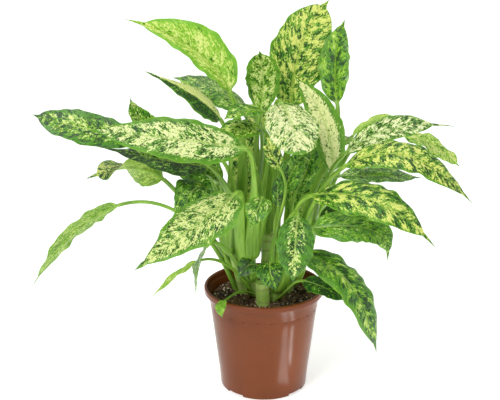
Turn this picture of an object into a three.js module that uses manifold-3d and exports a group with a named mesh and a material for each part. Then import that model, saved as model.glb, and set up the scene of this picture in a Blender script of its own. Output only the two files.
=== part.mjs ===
// Potted dieffenbachia in a plastic nursery pot.
// Millimetres, +Z up. The origin is the middle of the pot's foot, on the surface it stands on.
// -Y is the front of the plant, +X its right-hand side.

import * as THREE from 'three';
import { mergeVertices } from 'three/addons/utils/BufferGeometryUtils.js';
import Module from 'manifold-3d';

const wasm = await Module();
wasm.setup();

// Pot: a 12 cm nursery pot with a rolled lip
const POT_HEIGHT = 107;
const POT_WALL = 1.6;
const LIP_RADIUS = 60;
const LIP_HEIGHT = 6;
const LIP_ROLL = 2.4;
const BODY_TOP_RADIUS = 55.5;
const STEP_HEIGHT = 91;
const STEP_DEPTH = 0.6;
const BODY_FOOT_RADIUS = 43;
const FOOT_CHAMFER = 2;
const FOOT_INNER_RADIUS = 34;
const FLOOR_RISE = 3;
const FLOOR_THICKNESS = 1.8;
const PAD_RADIUS = 14;
const POT_SIDES = 32;
const DRAIN_HOLES = 6;
const DRAIN_HOLE_RADIUS = 4;
const DRAIN_HOLE_CIRCLE = 25;
const DRAIN_HOLE_SIDES = 8;
const NOTCH_BEARINGS = [48, 138, 228, 318];
const NOTCH_WIDTH = 20;

// Soil and the clearance kept between neighbouring pieces
const CLEARANCE = 0.3;
const SOIL_EDGE_HEIGHT = 93.5;
const SOIL_CROWN = 3;
const SOIL_SIDES = 32;
const SOIL_RINGS = [36, 18, 0];
const CANE_DEPTH = 25;

// Canes: foot on the soil's surface, top, radius at foot and top
const CANE_SIDES = 12;
const CANE_STEPS = 4;
const CANES = {
  cane_left: { foot: [-20, 2], top: [-34, 2, 152], radii: [4.6, 4.2] },
  cane_front_left: { foot: [-8, -4], top: [-14, -16, 152], radii: [4.4, 4.2] },
  cane_left_back: { foot: [-16, 22], top: [-24, 28, 152], radii: [5, 4.4] },
  cane_back: { foot: [3, 26], top: [4, 30, 164], radii: [6.5, 5.5] },
  cane_right_back: { foot: [20, 28], top: [30, 34, 154], radii: [5, 4.4] },
  cane_right: { foot: [24, 8], top: [38, 8, 154], radii: [5, 4.4] },
  cane_front_right: { foot: [9, -14], top: [20, -24, 152], radii: [4.4, 4.2] },
};
const STUB = { foot: [-1, -24], top: [-2, -25, 119], radii: [7, 6.6] };

// Leaves
const BLADE_THICKNESS = 0.9;
const RIB_HEIGHT = 1.1;
const BLADE_STEPS = [0, 0.05, 0.12, 0.22, 0.34, 0.47, 0.6, 0.72, 0.82, 0.9, 1];
const STALK_STEPS = 5;
const STALK_RISE = 0.45;
const STALK_BEND = 0.3;
const SMALL_LEAF = 32;
const TIP_WIDTH = 1.2;
const SHOULDER = 0.62;
const TAPER = 0.75;
const BODY_SHARE = 0.94;
const WAVE = [1.2, 2];
const WAVE_SHIFT = 1.1;
const DRIP_WIDTH = 0.1;
const STALK_FLARE = 1.4;
const STALK_NECK = 0.85;
const FRAME_SAMPLES = 40;
const NORMAL_STEP = 1 / FRAME_SAMPLES;

// One row for each leaf:
// cane, height      the cane that it grows from, and the height of its root there
// bearing           the side of the cane that the root is on, in degrees from +X towards +Y
// lean              how far the stalk leans out for each millimetre that it rises at its root
// stalk             radius of the stalk, before its flare at the root and its neck under the blade
// bend              how far before the blade the stalk starts to turn along it
// base, middle, tip three points of the blade's midrib
// width, face       greatest width, and the way that the upper face looks at the blade's middle
// fold, droop       degrees that each half rises from the midrib, and that it sinks again to its edge
// twist             degrees that the blade turns about its midrib from base to tip
// wave              height of the waves along the edge, and how many
// shoulder, taper   how slowly the outline widens from the base, and how early it narrows to the tip
// body              share of the blade's length before its thin drip tip
const LEAVES = {
  leaf_top_tall: {
    cane: 'cane_back', height: 160, bearing: 40, lean: 0.2, stalk: 2.6,
    base: [27, 45, 276], middle: [35, 50, 333], tip: [62, 45, 384],
    width: 57, face: [0.1, -1, 0.2], fold: 12, droop: 20,
    taper: 0.58,
  },
  leaf_top_right: {
    cane: 'cane_right_back', height: 150, bearing: 0, lean: 0.2, stalk: 2.4,
    base: [72, 35, 284], middle: [70, 45, 326], tip: [78, 45, 365],
    width: 32, face: [-0.35, -0.9, 0.2], fold: 24, droop: 18,
  },
  leaf_top_middle: {
    cane: 'cane_back', height: 160, bearing: 215, lean: 0.1, stalk: 2.4,
    base: [-4, 25, 278], middle: [-1, 30, 310], tip: [-5, 15, 340],
    width: 34, face: [-0.1, -0.9, 0.4], fold: 14, droop: 22, taper: 0.5,
  },
  leaf_left_arching: {
    cane: 'cane_left', height: 148, bearing: 40, lean: 0.1, stalk: 2.8,
    base: [-33, 2, 303], middle: [-67, 2, 344], tip: [-129, 0, 372],
    width: 48, face: [0.32, -0.77, 0.72], fold: 34, droop: 8,
    body: 0.9, taper: 0.73,
  },
  leaf_left_cream_upper: {
    cane: 'cane_left', height: 146, bearing: 245, lean: 0.1, stalk: 2.4,
    base: [-42, -5, 278], middle: [-66, -15, 303], tip: [-110, -25, 328],
    width: 32, face: [0.2, -0.45, 0.87], fold: 6, droop: 30,
    taper: 1.2,
  },
  leaf_left_dark_upper: {
    cane: 'cane_back', height: 156, bearing: 170, lean: 0.15, stalk: 2.2,
    base: [-14, 29, 277], middle: [-50, 25, 303], tip: [-88, 20, 313],
    width: 34, face: [0.2, -0.5, 0.85], fold: -10, droop: 10,
  },
  leaf_left_long_cream: {
    cane: 'cane_front_left', height: 148, bearing: 280, lean: 0.15, stalk: 2.8, bend: 14,
    base: [-18, -45, 260], middle: [-86, -65, 275], tip: [-159, -62, 282],
    width: 43, face: [0.1, -0.75, 0.65], fold: 8, droop: 16,
    taper: 0.85,
  },
  leaf_left_reaching: {
    cane: 'cane_left', height: 148, bearing: 300, lean: 0.25, stalk: 2.4, bend: 60,
    base: [-105, -30, 264], middle: [-164, -40, 278], tip: [-213, -40, 291],
    width: 33, face: [0.1, -0.8, 0.6], fold: 10, droop: 20,
    shoulder: 0.7, taper: 0.6,
  },
  leaf_left_behind_cream: {
    cane: 'cane_left_back', height: 135, bearing: 180, lean: 0.35, stalk: 2.2,
    base: [-85, 18, 252], middle: [-117, 16, 270], tip: [-129, 12, 295],
    width: 22, face: [0.3, -0.8, 0.5], fold: 14, droop: 16,
  },
  leaf_left_dark: {
    cane: 'cane_left', height: 132, bearing: 155, lean: 0.4, stalk: 2.2,
    base: [-55, -5, 232], middle: [-99, -20, 243], tip: [-157, -25, 257],
    width: 34, face: [0.05, -0.5, 0.85], fold: 12, droop: 20,
    taper: 0.9, body: 0.88,
  },
  leaf_left_curled: {
    cane: 'cane_left_back', height: 112, bearing: 185, lean: 0.7, stalk: 2.6, bend: 20,
    base: [-99, 15, 212], middle: [-132, 8, 226], tip: [-174, 0, 217],
    width: 41, face: [0, 0.6, 0.8], fold: 10, droop: 0, twist: -215,
    taper: 0.46, body: 0.87,
  },
  leaf_left_hanging: {
    cane: 'cane_left', height: 104, bearing: 175, lean: 0.35, stalk: 2, bend: 50,
    base: [-141, -10, 194], middle: [-183, -20, 170], tip: [-225, -30, 119],
    width: 40, face: [-0.64, 0.45, 0.62], fold: 8, droop: 8, twist: -20,
    taper: 0.6,
  },
  leaf_front_left_broad: {
    cane: 'cane_front_left', height: 136, bearing: 215, lean: 0.4, stalk: 3.1, bend: 22,
    base: [-27, -50, 218], middle: [-68, -92, 198], tip: [-116, -112, 167],
    width: 54, face: [-0.35, -0.6, 0.72], fold: 10, droop: 22,
    taper: 1,
  },
  leaf_front_left_narrow: {
    cane: 'cane_front_left', height: 118, bearing: 185, lean: 0.6, stalk: 1.8,
    base: [-54, -60, 170], middle: [-61, -80, 159], tip: [-64, -82, 132],
    width: 30, face: [-0.95, -0.22, 0.15], fold: 16, droop: 16,
  },
  leaf_low_left_lime: {
    cane: 'cane_front_left', height: 107, bearing: 205, lean: 0.6, stalk: 1.4, bend: 20,
    base: [-64, -45, 149], middle: [-83, -55, 140], tip: [-107, -60, 119],
    width: 12, face: [-0.62, 0.7, 0.6], fold: 8, droop: 8,
  },
  leaf_rim_tiny: {
    cane: 'cane_front_left', height: 99, bearing: 240, lean: 0.9, stalk: 1.1, bend: 14,
    base: [-38, -50, 111], middle: [-42, -62, 109], tip: [-40, -65, 100],
    width: 10, face: [-0.1, -0.9, 0.4], fold: 10, droop: 10,
  },
  leaf_centre_round: {
    cane: 'cane_back', height: 160, bearing: 300, lean: 0.15, stalk: 2.4,
    base: [15, -12, 296], middle: [24, -52, 285], tip: [29, -85, 265],
    width: 48, face: [0.05, -0.6, 0.8], fold: 8, droop: 26,
    shoulder: 0.5, taper: 0.5, body: 1,
  },
  leaf_centre_twisted: {
    cane: 'cane_right', height: 146, bearing: 40, lean: 0.3, stalk: 2.4,
    base: [66, 10, 221], middle: [58, 8, 272], tip: [28, 6, 318],
    width: 32, face: [-0.1, -0.95, 0.3], fold: 12, droop: 16,
  },
  leaf_centre_cream: {
    cane: 'cane_front_right', height: 122, bearing: 225, lean: 0.3, stalk: 1.6,
    base: [14, -50, 242], middle: [6, -54, 259], tip: [0, -57, 277],
    width: 16, face: [0.1, -0.9, 0.4], fold: 12, droop: 16,
  },
  leaf_right_long: {
    cane: 'cane_right', height: 150, bearing: 350, lean: 0.2, stalk: 2.2,
    base: [77, -10, 246], middle: [119, -25, 274], tip: [177, -20, 275],
    width: 34, face: [-0.1, -0.5, 0.85], fold: 12, droop: 20,
    shoulder: 0.8, taper: 0.75, body: 0.84,
  },
  leaf_right_rolled: {
    cane: 'cane_right_back', height: 140, bearing: 320, lean: 0.3, stalk: 1.8,
    base: [87, 25, 254], middle: [112, 30, 267], tip: [146, 30, 270],
    width: 24, face: [0, 0.5, 0.85], fold: 16, droop: 0,
  },
  leaf_right_wavy: {
    cane: 'cane_right_back', height: 120, bearing: 350, lean: 0.6, stalk: 2,
    base: [128, 25, 262], middle: [163, 20, 248], tip: [191, 10, 227],
    width: 30, face: [0.3, -0.35, 0.88], fold: 8, droop: 22, wave: [2.4, 2.5],
    taper: 0.45,
  },
  leaf_right_broad: {
    cane: 'cane_right', height: 134, bearing: 285, lean: 0.4, stalk: 2.4,
    base: [73, -40, 241], middle: [129, -60, 257], tip: [191, -55, 211],
    width: 37, face: [0.2, -0.5, 0.84], fold: 10, droop: 24, taper: 0.68,
  },
  leaf_right_narrow: {
    cane: 'cane_right', height: 120, bearing: 336, lean: 0.6, stalk: 2,
    base: [71, -25, 228], middle: [107, -30, 230], tip: [148, -25, 226],
    width: 26, face: [0.05, -0.35, 0.93], fold: 14, droop: 18,
  },
  leaf_front_right_broad: {
    cane: 'cane_front_right', height: 146, bearing: 300, lean: 0.25, stalk: 2.6,
    base: [43, -55, 218], middle: [100, -90, 223], tip: [151, -100, 184],
    width: 48, face: [0.2, -0.45, 0.85], fold: 10, droop: 26,
    body: 0.9,
  },
  leaf_right_shaded: {
    cane: 'cane_right', height: 107, bearing: 306, lean: 0.8, stalk: 2,
    base: [52, -15, 178], middle: [75, -25, 190], tip: [108, -20, 172],
    width: 28, face: [0.1, -0.5, 0.85], fold: 12, droop: 18,
  },
  leaf_front_right_curled: {
    cane: 'cane_front_right', height: 122, bearing: 352, lean: 0.5, stalk: 2,
    base: [43, -45, 182], middle: [99, -60, 186], tip: [113, -70, 160],
    width: 39, face: [0.1, -0.5, 0.85], fold: 12, droop: 20,
    shoulder: 0.42, body: 0.9,
  },
  leaf_front_hanging: {
    cane: 'cane_front_right', height: 140, bearing: 255, lean: 0.2, stalk: 2.2,
    base: [29, -75, 205], middle: [26, -105, 186], tip: [24, -110, 154],
    width: 34, face: [0, -0.75, 0.65], fold: 12, droop: 24,
  },
  leaf_low_right_broad: {
    cane: 'cane_front_right', height: 112, bearing: 310, lean: 0.6, stalk: 2.2,
    base: [35, -50, 161], middle: [79, -88, 141], tip: [103, -95, 79],
    width: 42, face: [0.45, -0.45, 0.75], fold: 12, droop: 26,
    shoulder: 0.36, body: 0.95, taper: 0.6,
  },
  leaf_low_right_small: {
    cane: 'cane_front_right', height: 101, bearing: 320, lean: 1, stalk: 1.5,
    base: [37, -40, 127], middle: [57, -52, 125], tip: [79, -62, 115],
    width: 24, face: [0, -0.4, 0.9], fold: 10, droop: 18,
  },
  leaf_low_centre_dark: {
    cane: 'cane_front_left', height: 121, bearing: 275, lean: 0.3, stalk: 1.5,
    base: [-7, -44, 144], middle: [-16, -54, 148], tip: [-25, -60, 138],
    width: 20, face: [-0.2, -0.7, 0.6], fold: 12, droop: 16,
  },
  leaf_low_centre_heart: {
    cane: 'cane_front_right', height: 110, bearing: 250, lean: 0.5, stalk: 1.5,
    base: [5, -54, 151], middle: [5, -68, 147], tip: [10, -72, 130],
    width: 26, face: [0, -0.85, 0.5], fold: 10, droop: 18,
  },
  leaf_front_middle_small: {
    cane: 'cane_front_left', height: 146, bearing: 332, lean: 0.3, stalk: 1.8,
    base: [-3, -60, 217], middle: [-7, -76, 212], tip: [-14, -84, 197],
    width: 24, face: [0, -0.6, 0.8], fold: 12, droop: 18,
  },
  leaf_centre_left_dark: {
    cane: 'cane_back', height: 158, bearing: 255, lean: 0.15, stalk: 1.8,
    base: [-1, -8, 286], middle: [-20, -22, 291], tip: [-38, -30, 284],
    width: 28, face: [0, -0.3, 0.95], fold: 12, droop: 18,
  },
  leaf_centre_left_speckled: {
    cane: 'cane_front_left', height: 148, bearing: 60, lean: 0.1, stalk: 1.8,
    base: [-4, 0, 268], middle: [-25, -18, 272], tip: [-50, -26, 263],
    width: 28, face: [0, -0.5, 0.85], fold: 12, droop: 18,
  },
  leaf_left_folded: {
    cane: 'cane_left_back', height: 148, bearing: 245, lean: 0.3, stalk: 1.8,
    base: [-48, 10, 209], middle: [-57, 0, 222], tip: [-70, -8, 226],
    width: 22, face: [0, -0.5, 0.85], fold: 34, droop: 6,
  },
  leaf_left_shaded: {
    cane: 'cane_left', height: 146, bearing: 192, lean: 0.4, stalk: 2,
    base: [-51, -7, 206], middle: [-68, -26, 214], tip: [-80, -38, 180],
    width: 38, face: [-0.3, -0.7, 0.65], fold: 12, droop: 20,
  },
  leaf_centre_dark: {
    cane: 'cane_front_right', height: 148, bearing: 150, lean: 0.1, stalk: 2,
    base: [18, -30, 214], middle: [26, -36, 237], tip: [35, -34, 256],
    width: 22, face: [-0.2, -0.9, 0.3], fold: 18, droop: 14,
  },
  leaf_centre_lime_rib: {
    cane: 'cane_front_right', height: 148, bearing: 20, lean: 0.1, stalk: 1.8,
    base: [30, -22, 211], middle: [40, -26, 236], tip: [47, -24, 263],
    width: 22, face: [-0.2, -0.9, 0.3], fold: 14, droop: 14,
  },
  leaf_centre_narrow: {
    cane: 'cane_front_right', height: 148, bearing: 205, lean: 0.1, stalk: 1.6,
    base: [13, -34, 201], middle: [12, -38, 218], tip: [14, -38, 234],
    width: 12, face: [-0.2, -0.9, 0.3], fold: 14, droop: 14,
  },
  leaf_centre_rolled: {
    cane: 'cane_front_left', height: 148, bearing: 16, lean: 0.1, stalk: 1.8,
    base: [-8, -27, 233], middle: [-11, -28, 242], tip: [-14, -28, 252],
    width: 14, face: [-0.2, -0.9, 0.3], fold: 50, droop: -20,
  },
  leaf_inner_left: {
    cane: 'cane_left_back', height: 132, bearing: 70, lean: 0.2, stalk: 1.8,
    base: [-17, 42, 162], middle: [-17, 43, 205], tip: [-20, 40, 268],
    width: 31, face: [-0.1, -0.95, 0.25], fold: 12, droop: 16, taper: 0.5, shoulder: 1.1,
  },
  leaf_inner_far_left: {
    cane: 'cane_left_back', height: 119, bearing: 150, lean: 0.5, stalk: 1.8,
    base: [-44, 38, 200], middle: [-68, 38, 217], tip: [-98, 32, 222],
    width: 38, face: [0, -0.85, 0.5], fold: 10, droop: 18,
  },
  leaf_inner_right: {
    cane: 'cane_right_back', height: 128, bearing: 30, lean: 0.3, stalk: 1.8,
    base: [32, 43, 164], middle: [44, 43, 200], tip: [62, 38, 244],
    width: 42, face: [0.1, -0.95, 0.25], fold: 12, droop: 16,
  },
  leaf_back_middle: {
    cane: 'cane_back', height: 158, bearing: 95, lean: 0.2, stalk: 2.6,
    base: [0, 70, 250], middle: [-5, 120, 262], tip: [-10, 170, 232],
    width: 54, face: [0, 0.3, 0.95], fold: 12, droop: 24,
  },
  leaf_back_left: {
    cane: 'cane_left_back', height: 146, bearing: 105, lean: 0.5, stalk: 2.4,
    base: [-45, 60, 222], middle: [-88, 104, 228], tip: [-130, 138, 196],
    width: 50, face: [-0.3, 0.3, 0.9], fold: 12, droop: 24,
  },
  leaf_back_right: {
    cane: 'cane_right_back', height: 142, bearing: 98, lean: 0.45, stalk: 2.4,
    base: [50, 62, 226], middle: [94, 106, 230], tip: [140, 140, 196],
    width: 50, face: [0.3, 0.3, 0.9], fold: 12, droop: 24,
  },
  leaf_back_low_left: {
    cane: 'cane_left_back', height: 115, bearing: 100, lean: 0.45, stalk: 2.2,
    base: [-28, 62, 178], middle: [-66, 96, 180], tip: [-100, 122, 142],
    width: 44, face: [-0.4, 0.5, 0.8], fold: 12, droop: 24,
  },
  leaf_back_low_right: {
    cane: 'cane_right_back', height: 112, bearing: 50, lean: 0.45, stalk: 2.2,
    base: [44, 58, 172], middle: [72, 92, 176], tip: [104, 122, 138],
    width: 44, face: [0.4, 0.5, 0.8], fold: 12, droop: 24,
  },
  leaf_back_low_middle: {
    cane: 'cane_back', height: 128, bearing: 90, lean: 0.4, stalk: 2.2,
    base: [4, 66, 190], middle: [6, 116, 194], tip: [12, 156, 150],
    width: 46, face: [0, 0.5, 0.85], fold: 12, droop: 24,
  },
};

const COLOURS = {
  pot: { color: 0x8f5233, roughness: 0.38 },
  soil: { color: 0x2a211b, roughness: 0.95 },
  cane: { color: 0x8fa765, roughness: 0.5 },
  leaf: { color: 0x4f7d3a, roughness: 0.4 },
};

const radians = THREE.MathUtils.degToRad;

// Booleans

function toManifold(geometry) {
  const bare = geometry.clone();
  bare.deleteAttribute('normal');
  bare.deleteAttribute('uv');
  const merged = mergeVertices(bare, 1e-4);
  return new wasm.Manifold(new wasm.Mesh({
    numProp: 3,
    vertProperties: new Float32Array(merged.attributes.position.array),
    triVerts: new Uint32Array(merged.index.array),
  }));
}

function fromManifold(solid) {
  const mesh = solid.getMesh();
  const geometry = new THREE.BufferGeometry();
  geometry.setAttribute('position', new THREE.BufferAttribute(new Float32Array(mesh.vertProperties), 3));
  geometry.setIndex(new THREE.BufferAttribute(new Uint32Array(mesh.triVerts), 1));
  geometry.computeVertexNormals();
  return geometry;
}

function cut(geometry, tools) {
  let solid = toManifold(geometry);
  for (const tool of tools) {
    solid = solid.subtract(toManifold(tool));
  }
  return fromManifold(solid);
}

// Turned and swept forms

// A solid of revolution about +Z from [radius, height] points
function turned(points, sides) {
  const profile = points.map(([radius, height]) => new THREE.Vector2(radius, height));
  const geometry = new THREE.LatheGeometry(profile, sides);
  geometry.rotateX(Math.PI / 2);
  return geometry;
}

// A closed skin over rings of points, each ring given in the same order, with flat ends
function skin(rings) {
  const positions = rings.flat().flatMap((point) => point.toArray());
  const around = rings[0].length;
  const index = [];
  for (let ring = 0; ring + 1 < rings.length; ring += 1) {
    for (let side = 0; side < around; side += 1) {
      const next = (side + 1) % around;
      const a = ring * around + side;
      const b = ring * around + next;
      const c = a + around;
      const d = b + around;
      // The split follows the same line on the upper and the lower face of a blade
      if (side < around / 2) {
        index.push(a, b, d, a, d, c);
      } else {
        index.push(a, b, c, b, d, c);
      }
    }
  }
  // Each end is closed by strips between its upper and its lower points
  const last = (rings.length - 1) * around;
  for (let side = 0; side + 1 < around / 2; side += 1) {
    const upper = side;
    const lower = around - 1 - side;
    index.push(upper, lower, lower - 1, upper, lower - 1, upper + 1);
    index.push(last + upper, last + lower - 1, last + lower);
    index.push(last + upper, last + upper + 1, last + lower - 1);
  }
  const geometry = new THREE.BufferGeometry();
  geometry.setAttribute('position', new THREE.Float32BufferAttribute(positions, 3));
  geometry.setIndex(index);
  geometry.computeVertexNormals();
  return geometry;
}

// Pot

function bodyRadius(height) {
  const share = height / (POT_HEIGHT - LIP_HEIGHT);
  return THREE.MathUtils.lerp(BODY_FOOT_RADIUS, BODY_TOP_RADIUS, share);
}

function potGeometry() {
  const lipBottom = POT_HEIGHT - LIP_HEIGHT;
  const floorTop = FLOOR_RISE + FLOOR_THICKNESS;
  const profile = [
    [0, 0],
    [PAD_RADIUS, 0],
    [PAD_RADIUS + FLOOR_RISE, FLOOR_RISE],
    [FOOT_INNER_RADIUS - FLOOR_RISE, FLOOR_RISE],
    [FOOT_INNER_RADIUS, 0],
    [BODY_FOOT_RADIUS - FOOT_CHAMFER, 0],
    [bodyRadius(FOOT_CHAMFER), FOOT_CHAMFER],
    [bodyRadius(STEP_HEIGHT) - STEP_DEPTH, STEP_HEIGHT],
    [bodyRadius(STEP_HEIGHT) + STEP_DEPTH / 2, STEP_HEIGHT + STEP_DEPTH],
    [BODY_TOP_RADIUS, lipBottom],
    [LIP_RADIUS - LIP_ROLL / 3, lipBottom],
    [LIP_RADIUS, lipBottom + LIP_ROLL / 2],
    [LIP_RADIUS, POT_HEIGHT - LIP_ROLL / 2],
    [LIP_RADIUS - LIP_ROLL / 3, POT_HEIGHT - LIP_ROLL / 8],
    [LIP_RADIUS - LIP_ROLL / 2, POT_HEIGHT],
    [LIP_RADIUS - LIP_ROLL, POT_HEIGHT - LIP_ROLL / 4],
    [LIP_RADIUS - LIP_ROLL - 1, lipBottom],
    [bodyRadius(STEP_HEIGHT) - POT_WALL, STEP_HEIGHT],
    [bodyRadius(floorTop) - POT_WALL, floorTop],
    [0, floorTop],
  ];
  const tools = [];
  for (let hole = 0; hole < DRAIN_HOLES; hole += 1) {
    const bearing = (hole / DRAIN_HOLES) * 2 * Math.PI;
    const depth = 4 * floorTop;
    const drill = new THREE.CylinderGeometry(DRAIN_HOLE_RADIUS, DRAIN_HOLE_RADIUS, depth, DRAIN_HOLE_SIDES);
    drill.rotateX(Math.PI / 2);
    drill.translate(DRAIN_HOLE_CIRCLE * Math.cos(bearing), DRAIN_HOLE_CIRCLE * Math.sin(bearing), 0);
    tools.push(drill);
  }
  for (const bearing of NOTCH_BEARINGS) {
    const depth = BODY_FOOT_RADIUS - FOOT_INNER_RADIUS + FLOOR_RISE;
    const notch = new THREE.BoxGeometry(2 * depth, NOTCH_WIDTH, 2 * (FLOOR_RISE - CLEARANCE));
    notch.translate(FOOT_INNER_RADIUS + depth - FLOOR_RISE - 1, 0, 0);
    notch.rotateZ(radians(bearing));
    tools.push(notch);
  }
  return cut(turned(profile, POT_SIDES), tools);
}

// Soil, with a plain hole for each cane

function soilHeight(radius) {
  const share = radius / LIP_RADIUS;
  return SOIL_EDGE_HEIGHT + SOIL_CROWN * (1 - share * share);
}

function soilGeometry(stems) {
  const bottom = FLOOR_RISE + FLOOR_THICKNESS + CLEARANCE;
  const inside = (height) => bodyRadius(height) - POT_WALL - 1.5 * CLEARANCE;
  const profile = [
    [0, bottom],
    [inside(bottom), bottom],
    [inside(STEP_HEIGHT), STEP_HEIGHT],
    [inside(STEP_HEIGHT), SOIL_EDGE_HEIGHT],
    ...SOIL_RINGS.map((radius) => [radius, soilHeight(radius)]),
  ];
  return cut(turned(profile, SOIL_SIDES), stems.map((stem) => stemGeometry(stem, CLEARANCE)));
}

// Canes and the cut stub

// The middle of a stem at a height, and its radius there
function stemAt(stem, height) {
  const [footX, footY] = stem.foot;
  const [topX, topY, topZ] = stem.top;
  const start = SOIL_EDGE_HEIGHT;
  const share = THREE.MathUtils.clamp((height - start) / (topZ - start), 0, 1);
  const centre = new THREE.Vector3(
    THREE.MathUtils.lerp(footX, topX, share),
    THREE.MathUtils.lerp(footY, topY, share),
    height,
  );
  return { centre, radius: THREE.MathUtils.lerp(stem.radii[0], stem.radii[1], share) };
}

function stemGeometry(stem, grow) {
  const bottom = SOIL_EDGE_HEIGHT - CANE_DEPTH - grow;
  const top = stem.top[2];
  const rings = [];
  for (let step = -1; step <= CANE_STEPS; step += 1) {
    const above = THREE.MathUtils.lerp(SOIL_EDGE_HEIGHT, top, step / CANE_STEPS);
    const height = step < 0 ? bottom : above;
    const { centre, radius } = stemAt(stem, height);
    const ring = [];
    for (let side = 0; side < CANE_SIDES; side += 1) {
      const bearing = (side / CANE_SIDES) * 2 * Math.PI;
      const reach = radius + grow;
      ring.push(new THREE.Vector3(
        centre.x + reach * Math.cos(bearing),
        centre.y + reach * Math.sin(bearing),
        height,
      ));
    }
    rings.push(ring);
  }
  return skin(rings);
}

// Leaves

// The midrib and stalk of a leaf: a cubic curve up from the cane and a quadratic one along the blade
function leafCurves(leaf) {
  const base = new THREE.Vector3(...leaf.base);
  const middle = new THREE.Vector3(...leaf.middle);
  const tip = new THREE.Vector3(...leaf.tip);
  const control = middle.clone().multiplyScalar(2).addScaledVector(base, -0.5).addScaledVector(tip, -0.5);
  const blade = new THREE.QuadraticBezierCurve3(base, control, tip);
  const { centre, radius } = stemAt(CANES[leaf.cane], leaf.height);
  const bearing = radians(leaf.bearing);
  const outward = new THREE.Vector3(Math.cos(bearing), Math.sin(bearing), 0);
  const root = centre.clone().addScaledVector(outward, radius + CLEARANCE + leaf.stalk * STALK_FLARE);
  const reach = root.distanceTo(base);
  const rise = new THREE.Vector3(0, 0, 1).addScaledVector(outward, leaf.lean).normalize();
  const arrive = control.clone().sub(base).normalize();
  const stalk = new THREE.CubicBezierCurve3(
    root,
    root.clone().addScaledVector(rise, reach * STALK_RISE),
    base.clone().addScaledVector(arrive, -(leaf.bend ?? reach * STALK_BEND)),
    base,
  );
  return { stalk, blade };
}

// Directions across and out of the upper face, carried along the leaf without twisting
function leafFrames(leaf, curves) {
  const samples = [];
  for (let step = 0; step <= FRAME_SAMPLES; step += 1) {
    samples.push({ curve: curves.stalk, at: step / FRAME_SAMPLES });
  }
  for (let step = 1; step <= FRAME_SAMPLES; step += 1) {
    samples.push({ curve: curves.blade, at: step / FRAME_SAMPLES });
  }
  const half = FRAME_SAMPLES + FRAME_SAMPLES / 2;
  const face = new THREE.Vector3(...leaf.face);
  const carry = (index, reference) => {
    const tangent = samples[index].curve.getTangent(samples[index].at);
    const normal = reference.clone().addScaledVector(tangent, -reference.dot(tangent)).normalize();
    samples[index].tangent = tangent;
    samples[index].normal = normal;
    return normal;
  };
  let normal = carry(half, face);
  for (let index = half + 1; index < samples.length; index += 1) {
    normal = carry(index, normal);
  }
  normal = samples[half].normal;
  for (let index = half - 1; index >= 0; index -= 1) {
    normal = carry(index, normal);
  }
  return samples;
}

function frameAt(samples, onBlade, at, twist = 0) {
  const index = Math.round(at * FRAME_SAMPLES) + (onBlade ? FRAME_SAMPLES : 0);
  const { tangent } = samples[index];
  const normal = samples[index].normal.clone().applyAxisAngle(tangent, twist);
  return { normal, side: new THREE.Vector3().crossVectors(tangent, normal) };
}

// Half width of the blade, as a share of its widest, at a share of its length.
// The body ends short of the leaf's end, and the rest is a thin drip tip.
function bladeOutline(leaf, at) {
  const taper = leaf.taper ?? TAPER;
  const share = leaf.body ?? BODY_SHARE;
  const along = Math.min(at / share, 1);
  const shoulder = leaf.shoulder ?? SHOULDER;
  const widest = shoulder / (shoulder + taper);
  const body = (along ** shoulder * (1 - along) ** taper) / (widest ** shoulder * (1 - widest) ** taper);
  const drip = share < 1 ? DRIP_WIDTH * Math.min((1 - at) / (1 - share), 1) : 0;
  return Math.max(body, drip);
}

// A point of the blade's middle surface. across runs from -1 at one edge to 1 at the other.
function bladePoint(leaf, curves, samples, at, across) {
  const { normal, side } = frameAt(samples, true, at, radians(leaf.twist ?? 0) * (at - 0.5));
  const half = Math.max(0.5 * leaf.width * bladeOutline(leaf, at), TIP_WIDTH / 2);
  const start = radians(leaf.fold);
  const sink = radians(leaf.droop);
  const reach = Math.abs(across);
  const mid = start - 0.5 * sink * reach;
  const [waveHeight, waves] = leaf.wave ?? WAVE;
  const phase = across > 0 ? WAVE_SHIFT : 0;
  const wave = waveHeight * reach * reach * Math.sin(2 * Math.PI * waves * at + phase);
  const lift = half * reach * Math.sin(mid) + wave * bladeOutline(leaf, at);
  return curves.blade.getPoint(at)
    .addScaledVector(side, Math.sign(across) * half * reach * Math.cos(mid))
    .addScaledVector(normal, lift);
}

function bladeNormal(leaf, curves, samples, at, across) {
  const before = bladePoint(leaf, curves, samples, Math.max(at - NORMAL_STEP, 0), across);
  const after = bladePoint(leaf, curves, samples, Math.min(at + NORMAL_STEP, 1), across);
  const left = bladePoint(leaf, curves, samples, at, Math.max(across - 10 * NORMAL_STEP, -1));
  const right = bladePoint(leaf, curves, samples, at, Math.min(across + 10 * NORMAL_STEP, 1));
  return right.sub(left).cross(after.sub(before)).normalize();
}

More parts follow.
